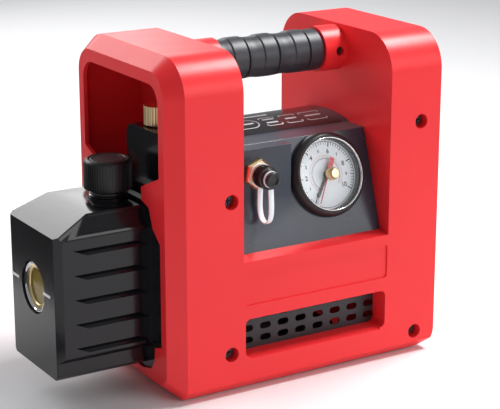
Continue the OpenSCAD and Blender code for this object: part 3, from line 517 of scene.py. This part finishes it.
def keep(name, mesh, finish, body, slot=None, stands_for=(), sharp=35):
    """Makes a finished piece of a bmesh: normals outwards, smooth but for sharp edges, on its body."""
    bmesh.ops.remove_doubles(mesh, verts=mesh.verts, dist=1e-6)
    bmesh.ops.recalc_face_normals(mesh, faces=mesh.faces)
    skin = bpy.data.meshes.new(name)
    for face in mesh.faces:
        face.smooth = True
    mesh.to_mesh(skin)
    mesh.free()
    skin.set_sharp_from_angle(angle=math.radians(sharp))
    for material in finish if isinstance(finish, (list, tuple)) else [finish]:
        skin.materials.append(material)
    piece = bpy.data.objects.new(name, skin)
    scene.collection.objects.link(piece)
    if stands_for:
        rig.replaces(piece, *stands_for)
    if slot:
        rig.slot(piece, slot)
    if body:
        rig.ride(piece, body)
    print(name, "has", len(skin.polygons), "faces")
    return piece


def lathe(name, outline, place, finish, body, slot=None, stands_for=(), ease=0.3, turns=96, pick=None):
    """Sweeps an outline of (radius, height) in millimetres round the axis of place, in so many turns.

    Where a piece has two finishes, pick says which one a point of the outline has."""
    soft = eased(outline, ease)
    mesh = bmesh.new()
    rings = []
    for step in range(turns):
        angle = 2 * math.pi * step / turns
        across, up = math.cos(angle), math.sin(angle)
        rings.append([mesh.verts.new(place @ (Vector((r * across, r * up, h)) * MM)) for r, h in soft])
    count = len(soft)
    for a, b in zip(rings, rings[1:] + rings[:1]):
        for k in range(count):
            face = mesh.faces.new((a[k], a[(k + 1) % count], b[(k + 1) % count], b[k]))
            if pick:
                face.material_index = pick(*soft[k])
    bmesh.ops.dissolve_degenerate(mesh, dist=1e-7, edges=mesh.edges)
    return keep(name, mesh, finish, body, slot, stands_for)


GAUGE = seat("pointer_turn")
INLET = seat("inlet_cap_turn")
FILLER = seat("filler_cap_turn")
print("gauge centre", [round(c, 4) for c in GAUGE.translation])

# %% [markdown]
# ## Gauge
# A pressed black bezel holds the lens with a thin bright ring, and the dial lies some millimetres
# below it. The flange is wide and gently domed, so the light runs round it as a soft line.

# %% Turn the bezel and its bright ring
lathe("bezel_flange", [(30.8, 0.1), (32, 0.3), (32, 2.2), (31, 5), (29.4, 7.2), (28.6, 7.4), (28.2, 6.6),
                       (27.6, 6.6), (27.6, 1.9), (30.8, 1.9)],
      GAUGE, black_plastic, "housing", "black_plastic", ["gauge_bezel"], ease=0.9)
lathe("bezel_ring", [(27.5, 5.9), (27.5, 7.9), (27.1, 8.2), (26.6, 7.8), (26.7, 5.9)],
      GAUGE, polished_steel, "housing", "polished_steel", ease=0.35)
lathe("dial_well", [(26.2, 0.05), (27.5, 0.05), (27.5, 4.55), (26.6, 4.55)],
      GAUGE, pointer_black, "housing", "pointer_black", ease=0.2)

# %% [markdown]
# ## Graduations
# A dial is printed with a few dozen equal lines, which is work for Geometry Nodes: one small tree
# sets copies of a piece round an axis at equal steps. The same tree later sets ribs round a knob.

# %% A tree that repeats a piece round an axis
def ring_tree():
    """Geometry Nodes: copies of Piece round the Z axis, Count of them, Step apart."""
    tree = bpy.data.node_groups.new("copies_round_an_axis", "GeometryNodeTree")
    tree.interface.new_socket("Geometry", in_out="OUTPUT", socket_type="NodeSocketGeometry")
    for name, kind in {"Piece": "Object", "Count": "Int", "Radius": "Float", "First Angle": "Float",
                       "Step": "Float", "Finish": "Material"}.items():
        tree.interface.new_socket(name, in_out="INPUT", socket_type="NodeSocket" + kind)
    given = {out.name: Wire(out) for out in tree.nodes.new("NodeGroupInput").outputs if out.name}
    angle = add(tree, "GeometryNodeInputIndex") * given["Step"] + given["First Angle"]
    across = angle.math("SINE", angle) * given["Radius"] * -1.0
    up = angle.math("COSINE", angle) * given["Radius"]
    place = add(tree, "ShaderNodeCombineXYZ", {}, {"X": across, "Y": up})
    points = add(tree, "GeometryNodePoints", {}, {"Count": given["Count"], "Position": place})
    piece = add(tree, "GeometryNodeObjectInfo", {}, {"Object": given["Piece"]}, "Geometry")
    turn = add(tree, "ShaderNodeCombineXYZ", {}, {"Z": angle})
    copies = add(tree, "GeometryNodeInstanceOnPoints", {},
                 {"Points": points, "Instance": piece, "Rotation": turn})
    real = add(tree, "GeometryNodeRealizeInstances", {}, {"Geometry": copies})
    made = add(tree, "GeometryNodeSetMaterial", {}, {"Geometry": real, "Material": given["Finish"]})
    tree.links.new(made.socket, tree.nodes.new("NodeGroupOutput").inputs["Geometry"])
    return tree


RING = ring_tree()


def block(size, ease=0.0):
    """A small block for the tree to copy: across, up and out, in millimetres, with its foot at zero."""
    mesh = bmesh.new()
    bmesh.ops.create_cube(mesh, size=1)
    for corner in mesh.verts:
        x, y, z = corner.co
        corner.co = Vector((x * size[0], y * size[1], (z + 0.5) * size[2])) * MM
    if ease:
        bmesh.ops.bevel(mesh, geom=mesh.edges, offset=ease * MM, segments=2, profile=0.6, affect="EDGES")
    skin = bpy.data.meshes.new("block")
    mesh.to_mesh(skin)
    mesh.free()
    piece = bpy.data.objects.new("block", skin)
    scene.collection.objects.link(piece)
    return piece


def ring_of(name, piece, count, radius, first, step, place, finish, body, slot=None):
    """Copies a piece round the axis of place with the tree, and keeps the result as a plain mesh."""
    holder = bpy.data.objects.new(name, bpy.data.meshes.new(name))
    scene.collection.objects.link(holder)
    ring = holder.modifiers.new("ring", "NODES")
    ring.node_group = RING
    sockets = [item for item in RING.interface.items_tree if item.in_out == "INPUT"]
    names = {item.name: item.identifier for item in sockets}
    for key, value in {"Piece": piece, "Count": count, "Radius": radius * MM,
                       "First Angle": math.radians(first), "Step": math.radians(step),
                       "Finish": finish}.items():
        ring[names[key]] = value
    settle(holder)
    bpy.data.objects.remove(piece)
    holder.data.transform(place)
    if slot:
        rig.slot(holder, slot)
    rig.ride(holder, body)
    print(name, "has", len(holder.data.polygons), "faces")


# %% [markdown]
# ## The printed dial
# The scale sweeps 270 degrees, with fine, middle and long lines, each kind a ring of its own. Ink
# has no thickness, but 0.05 mm keeps it clear of the dial. The figures are Blender's own font, and
# they say nothing about units.

# %% Print the dial
SCALE_START, SCALE_SWEEP, INK = 147, -270, 0.05
ON_DIAL = GAUGE @ Matrix.Translation((0, 0, 0.02 * MM))
for name, width, length, percent, radius in (("dial_fine_lines", 0.42, 2.0, 2, 23.4),
                                             ("dial_middle_lines", 0.6, 2.8, 10, 23.0),
                                             ("dial_long_lines", 0.9, 3.6, 20, 22.6)):
    ring_of(name, block((width, length, INK)), 100 // percent + 1, radius, SCALE_START,
            SCALE_SWEEP * percent / 100, ON_DIAL, dial_ink, "housing", "dial_white")


def figures(name, words, size, places, place, finish, body, slot):
    """Flat figures, each centred on its place, as one mesh."""
    sheet = bmesh.new()
    for word, (x, y) in zip(words, places):
        curve = bpy.data.curves.new(name, "FONT")
        curve.body, curve.size = word, size * MM
        curve.align_x, curve.align_y = "CENTER", "CENTER"
        curve.offset = size * MM * 0.025
        letter = bpy.data.objects.new(name + "_draft", curve)
        scene.collection.objects.link(letter)
        bpy.context.view_layer.update()
        seen = letter.evaluated_get(bpy.context.evaluated_depsgraph_get())
        flat = bpy.data.meshes.new_from_object(seen)
        flat.transform(Matrix.Translation((x * MM, y * MM, 0)))
        sheet.from_mesh(flat)
        bpy.data.objects.remove(letter)
    bmesh.ops.solidify(sheet, geom=sheet.faces, thickness=INK * MM)
    sheet.transform(place)
    return keep(name, sheet, finish, body, slot)


def dial_place(share, radius):
    """Where a share of the scale lies, 0 at its start and 1 at its end."""
    angle = math.radians(SCALE_START + SCALE_SWEEP * share)
    return -math.sin(angle) * radius, math.cos(angle) * radius


ON_PRINT = GAUGE @ Matrix.Translation((0, 0, 0.08 * MM))
figures("dial_figures", ["0", "2", "4", "6", "8", "10"], 4.8,
        [dial_place(k / 5, 17.4) for k in range(6)], ON_PRINT, dial_ink, "housing", "dial_white")
figures("dial_small_figures", ["1", "3", "5", "7", "9"], 3.4,
        [dial_place((k + 0.5) / 5, 18.0) for k in range(5)], ON_PRINT, dial_ink, "housing",
        "dial_white")
lathe("dial_rim_line", [(24.5, 0), (24.9, 0), (24.9, INK), (24.5, INK)], ON_DIAL, dial_ink,
      "housing", "dial_white", ease=0.01)
ring_of("dial_blue_lines", block((0.35, 1.2, INK)), 61, 12.2, SCALE_START, SCALE_SWEEP / 60,
        ON_DIAL, dial_ink, "housing", "dial_white")
ring_of("dial_inner_lines", block((0.4, 1.0, INK)), 41, 14.2, SCALE_START, SCALE_SWEEP / 40,
        ON_DIAL, pointer_red, "housing", "pointer_red")

# %% [markdown]
# ## Hands
# The pointer is a thin black blade. The red hand is set by the brass knob in the middle of the lens,
# so blade and knob turn together, though they are two pieces of two materials.

# %% Cut the hands and turn the setting knob
def blade(name, outline, low, thick, rest, finish, body, slot, stands_for=()):
    """A flat hand: an outline in millimetres, at a height above the dial, turned to where it rests."""
    mesh = bmesh.new()
    face = mesh.faces.new([mesh.verts.new((x * MM, y * MM, low * MM)) for x, y in outline])
    lifted = bmesh.ops.extrude_face_region(mesh, geom=[face])
    for corner in lifted["geom"]:
        if isinstance(corner, bmesh.types.BMVert):
            corner.co.z += thick * MM
    bmesh.ops.bevel(mesh, geom=mesh.edges[:], offset=0.12 * MM, segments=1, affect="EDGES")
    mesh.transform(GAUGE @ Matrix.Rotation(math.radians(rest), 4, "Z"))
    return keep(name, mesh, finish, body, slot, stands_for)


POINTER_REST, SET_HAND_REST = 147, 153
blade("pointer_blade",
      [(-1.5, -8), (1.5, -8), (1.3, 0), (0.9, 17), (0, 21), (-0.9, 17), (-1.3, 0)], 0.8, 0.7,
      POINTER_REST, pointer_black, "gauge_pointer", "pointer_black", ["gauge_pointer"])
lathe("pointer_hub", [(0, 0.3), (2.6, 0.3), (2.6, 2.4), (0, 2.4)], GAUGE, pointer_black, "gauge_pointer",
      "pointer_black", ease=0.3, turns=48)
blade("set_hand_blade",
      [(-1.9, -13), (1.9, -13), (1.9, -4.5), (0.4, -3), (0.4, 23), (-0.4, 23), (-0.4, -3), (-1.9, -4.5)],
      3.0, 0.6, SET_HAND_REST, pointer_red, "gauge_set_hand", "pointer_red", ["gauge_set_hand"])
lathe("set_hand_knob",
      [(0, 2.8), (1.2, 2.8), (1.2, 6.2), (4.2, 6.2), (4.6, 6.8), (4.6, 10.6), (4.0, 11.4), (3.4, 13.3),
       (0, 13.3)],
      GAUGE, brass, "gauge_set_hand", "brass", ease=0.4, turns=64)
ring_of("set_hand_knurls", block((0.34, 0.5, 3.2), 0.1), 36, 4.6, 0, 10,
        GAUGE @ Matrix.Translation((0, 0, 7.1 * MM)), brass, "gauge_set_hand", "brass")

# %% [markdown]
# ## Handle grip
# The rubber grip is a sleeve with three raised finger pads, each ending in a ring groove, and each
# with its edge on the underside. One function gives the radius anywhere along and round the sleeve,
# and a fine grid of points follows it.

# %% Shape the grip
grip_low, grip_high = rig.box("handle_grip")
GRIP_AXIS = (grip_low + grip_high) / 2
GRIP_R, BORE_R = (grip_high.z - grip_low.z) / 2, 0.0091
PADS = [(0.0015, 0.0135), (0.0275, 0.0395), (0.0545, 0.0665)]
PAD_FROM, PAD_TO = math.radians(-27), math.radians(207)
PAD_RISE, PAD_EDGE = 0.0006, 0.05
GROOVE_DEPTH, GROOVE_FROM, GROOVE_TO, GROOVE_EDGE = 0.0013, 0.0002, 0.0015, 0.0005
WAIST_DEPTH, WAIST_BACK, WAIST_WIDTH = 0.0007, 0.007, 0.0055
END_LENGTH, END_DEPTH = 0.0015, 0.0012


def step_up(value, edge, width):
    """0 before edge, 1 after it, smoothly over width."""
    t = min(1.0, max(0.0, (value - edge) / width + 0.5))
    return t * t * (3 - 2 * t)


def grip_radius(x, angle):
    """The sleeve's radius at x, angle up from the front: each pad stands up, then comes its ring
    groove, and a shallow waist lies before it."""
    radius = GRIP_R - PAD_RISE
    turned = (angle + math.pi / 2) % (2 * math.pi) - math.pi / 2
    on_side = step_up(turned, PAD_FROM, PAD_EDGE) * (1 - step_up(turned, PAD_TO, PAD_EDGE))
    for start, end in PADS:
        radius += PAD_RISE * on_side * step_up(x, start, 0.0008) * (1 - step_up(x, end, 0.0006))
        in_groove = step_up(x, end + GROOVE_FROM, GROOVE_EDGE)
        radius -= GROOVE_DEPTH * in_groove * (1 - step_up(x, end + GROOVE_TO, GROOVE_EDGE))
        radius -= WAIST_DEPTH * math.exp(-((x - start + WAIST_BACK) / WAIST_WIDTH) ** 2)
    from_end = min(x - grip_low.x, grip_high.x - x) / END_LENGTH
    return radius - END_DEPTH * (1 - min(1.0, from_end)) ** 2


mesh = bmesh.new()
along_grip, round_grip = 210, 128
rings = []
for j in range(round_grip):
    angle = 2 * math.pi * j / round_grip
    outwards = Vector((0, -math.cos(angle), math.sin(angle)))
    ring = []
    for i in range(along_grip + 1):
        x = grip_low.x + (grip_high.x - grip_low.x) * i / along_grip
        centre = Vector((x, GRIP_AXIS.y, GRIP_AXIS.z))
        ring.append(mesh.verts.new(centre + outwards * grip_radius(x, angle)))
    for x in (grip_high.x, grip_low.x):
        ring.append(mesh.verts.new(Vector((x, GRIP_AXIS.y, GRIP_AXIS.z)) + outwards * BORE_R))
    rings.append(ring)
for a, b in zip(rings, rings[1:] + rings[:1]):
    for k in range(len(a)):
        mesh.faces.new((a[k - 1], a[k], b[k], b[k - 1]))
keep("grip_sleeve", mesh, rubber, "housing", "rubber", ["handle_grip"], sharp=50)

# %% [markdown]
# ## Sight glass
# The oil window is a bright ring with a brass cone that leads the eye down to the glass. Two short
# raised lines on the casing's end mark the oil level.

# %% Fit the sight glass
ring_low, ring_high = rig.box("sight_ring")
RING_R = (ring_high.y - ring_low.y) / 2 / MM
UPRIGHT_TO_X = Matrix.Rotation(math.pi / 2, 4, "Y")
SIGHT = Matrix.Translation((ring_low.x, 0, (ring_low.z + ring_high.z) / 2)) @ UPRIGHT_TO_X
lathe("sight_bezel", [(RING_R - 1.3, 0.7), (RING_R - 0.2, 1.5), (RING_R - 0.2, 3.8), (RING_R - 6.2, 3.8),
                      (RING_R - 5.4, 2.6), (RING_R - 2.6, 1.9)],
      SIGHT, [polished_steel, brass], "housing", "polished_steel", ["sight_ring"], ease=0.5,
      pick=lambda r, h: 1 if r < RING_R - 4.6 else 0)
MARK_X, MARK_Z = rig.box("oil_casing")[0].x - 0.0001, SIGHT.translation.z + 0.001
MARK_THICK, MARK_HIGH = 0.0008, 0.0019
for name, y0, y1 in (("level_mark_rear", 0.0235, 0.036), ("level_mark_front", -0.0295, -0.018)):
    mark = bmesh.new()
    bmesh.ops.create_cube(mark, size=1)
    for corner in mark.verts:
        x, y, z = corner.co
        corner.co = Vector((MARK_X + x * MARK_THICK, (y0 + y1) / 2 + y * (y1 - y0),
                            MARK_Z + z * MARK_HIGH))
    bmesh.ops.bevel(mark, geom=mark.edges, offset=0.0003, segments=2, profile=0.6, affect="EDGES")
    keep(name, mark, white_paint, "housing", "dial_white")

# %% [markdown]
# ## The step under the lens
# The lens sits in a dark step, so its bright ring stays thin.

# %% Turn the dark step
lathe("bezel_step", [(27.7, 6.7), (28.9, 7.2), (28.9, 7.7), (27.7, 7.9)],
      GAUGE, pointer_black, "housing", "pointer_black", ease=0.2)

# %% [markdown]
# ## Inlet port and its cap
# The port is a brass hexagon: the lathe sweeps its outline in six steps instead of many. The cap is
# grooved all round for the fingers and ends in a button with a sunk middle.

# %% Turn the port and the cap
HEXAGON_TURN = 0.35
lathe("port_hexagon", [(6.9, 0.1), (11.6, 0.1), (11.6, 3.4), (10.2, 4.8), (6.9, 4.8)],
      INLET @ Matrix.Rotation(HEXAGON_TURN, 4, "Z"), brass, "housing", "brass", ease=0.25, turns=6)
lathe("inlet_cap_body",
      [(4.75, 7.5), (8.0, 7.5), (8.0, 16.5), (6.6, 16.9), (6.6, 18.5), (4.2, 18.8), (4.2, 20.8),
       (5.6, 20.8), (5.6, 23.4), (4.9, 24.0), (3.4, 24.0), (3.2, 22.8), (0, 22.8), (0, 15.5),
       (4.75, 15.5)],
      INLET, black_plastic, "inlet_cap", "black_plastic", ["inlet_cap"], ease=0.4, turns=72)
ring_of("inlet_cap_ribs", block((0.9, 0.7, 7.6), 0.25), 24, 8.0, 0, 15,
        INLET @ Matrix.Translation((0, 0, 8.2 * MM)), black_plastic, "inlet_cap", "black_plastic")
ring_of("inlet_cap_button_ribs", block((0.7, 0.5, 2.0), 0.15), 20, 5.6, 0, 18,
        INLET @ Matrix.Translation((0, 0, 21.1 * MM)), graphite, "inlet_cap", "black_plastic")

# %% [markdown]
# ## Oil filler cap
# The filler cap is ribbed for a hand's grip, with a crinkled top. Below it the neck's thread, moulded with
# the black casing, shows as a few rings in bright zinc steel: painted highlight for the silvery lines the
# thread catches. They are drawn level because a thread's slope is too small to see here. They end half a
# millimetre under the cap, so that the cap is free to turn.

# %% Turn the filler cap and its thread
CAP_H, CAP_R, NECK_R = 22, 18, 12.5
RIBS = 54
THREAD_FROM, THREAD_PITCH, THREAD_OUT, THREAD_H = -5.0, 1.7, 1.15, 1.1
lathe("filler_cap_body", [(13.5, 0), (16.9, 0), (16.9, CAP_H - 1.6), (15.4, CAP_H), (13.4, CAP_H),
                          (12.9, CAP_H - 0.6), (0, CAP_H - 0.6), (0, 14.1), (13.5, 14.1)],
      FILLER, black_plastic, "filler_cap", "black_plastic", ["filler_cap"], ease=0.5)
ring_of("filler_cap_ribs", block((1.0, 1.1, CAP_H - 2.4), 0.3), RIBS, CAP_R - 1.05, 0, 360 / RIBS,
        FILLER @ Matrix.Translation((0, 0, 0.4 * MM)), black_plastic, "filler_cap", "black_plastic")
lathe("filler_cap_top",
      [(0, CAP_H - 0.55), (12.8, CAP_H - 0.55), (12.4, CAP_H - 0.05), (11.6, CAP_H - 0.05),
       (11.0, CAP_H - 0.35), (0, CAP_H - 0.35)],
      FILLER, crinkled, "filler_cap", "black_plastic", ease=0.2)
# The thread rings are painted highlight: bright zinc steel on a thread that is the black casing's own.
for turn in range(3):
    low = THREAD_FROM + THREAD_PITCH * turn
    lathe(f"neck_thread_{turn}",
          [(NECK_R, low), (NECK_R + THREAD_OUT, low + THREAD_H / 2), (NECK_R, low + THREAD_H)],
          FILLER, zinc_steel, "housing", "zinc_steel", ease=0.1)

# %% [markdown]
# ## Inlet strap
# A soft white strap keeps the cap from being lost: a ring round the port, a hanging loop, and a ring
# round the cap's neck. It is a flat band bent along a path, and it bends as the cap is unscrewed.

# %% Bend the strap
port = INLET.translation
BACK_Y, FRONT_Y = port.y - 0.0054, port.y - 0.0197
BAND_W, BAND_T, BAND_CORNER = 0.0042, 0.0012, 0.0004
LOOP_TOP, LOOP_DROP, LOOP_BOW, LOOP_SQUARE = 0.0075, 0.0265, 0.0016, 0.62


def band(points, width, thick):
    """A closed band in the plane X = 0 of the port, along a path of (y, z) points."""
    made = bmesh.new()
    rows = []
    half, flat = width / 2, width / 2 - BAND_CORNER
    section = ((-half, -0.6), (-half, 0.6), (-flat, 1), (flat, 1), (half, 0.6), (half, -0.6),
               (flat, -1), (-flat, -1))
    for k, here in enumerate(points):
        before, after = points[max(k - 1, 0)], points[min(k + 1, len(points) - 1)]
        way = Vector((after[0] - before[0], after[1] - before[1])).normalized()
        side = Vector((-way.y, way.x)) * thick / 2
        rows.append([made.verts.new((port.x + x, here[0] + side.x * s, here[1] + side.y * s))
                     for x, s in section])
    for a, b in zip(rows, rows[1:]):
        for k in range(len(section)):
            made.faces.new((a[k - 1], a[k], b[k], b[k - 1]))
    made.faces.new(rows[0])
    made.faces.new(rows[-1][::-1])
    return made


def loop_point(t):
    """The hanging loop at t, 0 at the port and 1 at the cap. It hangs to 34 mm under their middle."""
    forwards = 0.5 - 0.5 * math.cos(math.pi * t)
    y = BACK_Y + (FRONT_Y - BACK_Y) * forwards + LOOP_BOW * math.sin(2 * math.pi * t)
    z = port.z - LOOP_TOP - LOOP_DROP * math.sin(math.pi * t) ** LOOP_SQUARE
    return y, z


LOOP_STEPS, RING_STEPS = 48, 64
band_mesh = band([loop_point(k / LOOP_STEPS) for k in range(LOOP_STEPS + 1)], BAND_W, BAND_T)
for ring_y, inner, outer in ((BACK_Y, 7.5, 8.8), (FRONT_Y, 4.3, 6.2)):
    place = Matrix.Translation((port.x, ring_y, port.z)) @ Matrix.Rotation(math.pi / 2, 4, "X")
    soft = eased([(inner, -0.6), (outer, -0.6), (outer, 0.6), (inner, 0.6)], 0.3)
    hoops = [[band_mesh.verts.new(place @ (Vector((r * math.cos(a), r * math.sin(a), h)) * MM))
              for r, h in soft] for a in (2 * math.pi * k / RING_STEPS for k in range(RING_STEPS))]
    for a, b in zip(hoops, hoops[1:] + hoops[:1]):
        for k in range(len(soft)):
            band_mesh.faces.new((a[k - 1], a[k], b[k], b[k - 1]))
strap = keep("strap_band", band_mesh, strap_white, None, "strap_white", ["cap_strap"])
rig.blend(strap, "housing", "inlet_cap_seal",
         start=(port.x, BACK_Y, port.z), end=(port.x, FRONT_Y, port.z))

# %% [markdown]
# ## Printed sheet on the console
# A glossy black sheet with white frames and rules lies on the console's crown. It carries no words.
# The frames are drawn flat and laid over the crown by one function. The sheet itself is one open layer
# of faces, and the frames on it are closed.

# %% Lay the printed sheet
CROWN_R, CROWN_MIDDLE = 0.11015, 0.0085
SHEET_LIFT = 0.00015
PRINT_LOW, PRINT_HIGH, SMALLEST_CORNER = 0.00016, 0.00022, 0.0001
cover_low, cover_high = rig.box("console_cover")


def on_crown(x, y, lift):
    """The point above x, y that lies lift above the crown, which is part of a wide cylinder."""
    crown = math.sqrt(CROWN_R ** 2 - (y - CROWN_MIDDLE) ** 2)
    return Vector((x, y, cover_high.z - CROWN_R + crown + lift))


def sheet_piece(name, x0, x1, y0, y1, corner, border=0):
    """A print with round corners on the crown: a frame border wide, or a full patch if border is 0."""
    def loop(inset):
        """The outline, inset by so much: four corners of seven points each."""
        r = max(corner - inset, SMALLEST_CORNER)
        points = []
        for c, (x, y, sx, sy) in enumerate(((x1, y1, -1, -1), (x0, y1, 1, -1), (x0, y0, 1, 1),
                                            (x1, y0, -1, 1))):
            for k in range(7):
                a = math.pi / 2 * (c + k / 6)
                points.append((x + sx * (inset + r) + r * math.cos(a),
                               y + sy * (inset + r) + r * math.sin(a)))
        return points
    made = bmesh.new()
    inner = loop(border if border else min(x1 - x0, y1 - y0) * 0.499)
    rows = [[made.verts.new(on_crown(*point, lift)) for point in edge]
            for edge, lift in ((loop(0), PRINT_LOW), (loop(0), PRINT_HIGH),
                               (inner, PRINT_HIGH), (inner, PRINT_LOW))]
    for a, b in zip(rows, rows[1:] + rows[:1]):
        for k in range(len(a)):
            made.faces.new((a[k - 1], a[k], b[k], b[k - 1]))
    return keep(name, made, dial_white, "housing", "dial_white")


sheet_finish = moulded("label_black", (0.014, 0.014, 0.016), 0.12, grain=0.02, waves=0.05)
sheet_x0, sheet_x1, sheet_y0, sheet_y1 = cover_low.x + 0.004, cover_high.x - 0.006, -0.0205, 0.026
bed = bmesh.new()
columns, lines = 24, 20
grid = [[bed.verts.new(on_crown(sheet_x0 + (sheet_x1 - sheet_x0) * i / columns,
                                sheet_y0 + (sheet_y1 - sheet_y0) * j / lines, SHEET_LIFT))
         for i in range(columns + 1)] for j in range(lines + 1)]
for j in range(lines):
    for i in range(columns):
        bed.faces.new((grid[j][i], grid[j][i + 1], grid[j + 1][i + 1], grid[j + 1][i]))
keep("printed_sheet", bed, sheet_finish, "housing", "console_plastic")
SQUARISH, OVAL, BORDER, HALF_RULE, RULE_CORNER = 0.002, 0.0089, 0.0008, 0.0012, 0.0004
FRAMES = [(0.004, 0.022, SQUARISH), (0.026, 0.052, OVAL), (0.056, 0.070, SQUARISH),
          (0.074, 0.088, SQUARISH), (0.092, 0.110, SQUARISH)]
for number, (start, end, corner) in enumerate(FRAMES):
    sheet_piece(f"printed_frame_{number}", sheet_x0 + start, sheet_x0 + end, -0.012, 0.006, corner,
                BORDER)
RULES = [(0.030, 0.048, -0.003), (0.006, 0.020, -0.003), (0.058, 0.068, 0.001),
         (0.058, 0.068, -0.006), (0.076, 0.086, -0.003), (0.094, 0.108, -0.003),
         (0.004, 0.070, 0.014), (0.004, 0.050, 0.018)]
for number, (start, end, y) in enumerate(RULES):
    sheet_piece(f"printed_rule_{number}", sheet_x0 + start, sheet_x0 + end, y - HALF_RULE,
                y + HALF_RULE, RULE_CORNER)

# %% [markdown]
# ## Floor and black flag
# A wide pale floor, matt as seamless paper is. A black flag, a studio's dark card, lies on it behind
# on the left, seen only in reflections, so that the casing's end doesn't mirror the white floor.

# %% Lay the floor and the flag
def staged(name, low, high, height, material):
    """A level rectangle of the stage, which is no part of the pump."""
    sheet = bpy.data.meshes.new(name)
    sheet.from_pydata([(low[0], low[1], height), (high[0], low[1], height),
                       (high[0], high[1], height), (low[0], high[1], height)], [], [(0, 1, 2, 3)])
    sheet.materials.append(material)
    piece = bpy.data.objects.new(name, sheet)
    scene.collection.objects.link(piece)
    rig.stage(piece)
    return piece


FLOOR_REACH = 9.0
paper = Finish("paper", (0.86, 0.86, 0.87), 0.9)
paper.set("Base Color", paper.shades(0.01, 3))
flag_black = Finish("flag_black", (0.01, 0.01, 0.01), 0.95)
black_flag = staged("black_flag", (-0.95, -0.1), (-0.25, 1.1), 0.002, flag_black.material)
black_flag.visible_camera = black_flag.visible_diffuse = black_flag.visible_shadow = False
staged("floor", (-FLOOR_REACH, -FLOOR_REACH), (FLOOR_REACH, FLOOR_REACH), 0, paper.material)
print("floor", 2 * FLOOR_REACH, "m wide")

# %% Write the sizes and finish
dressed_box = [list(corner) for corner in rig.bounds()]
with open("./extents.json", "w") as sizes:
    json.dump({"solids": solid_box, "dressed": dressed_box}, sizes)
print("dressed box", dressed_box)
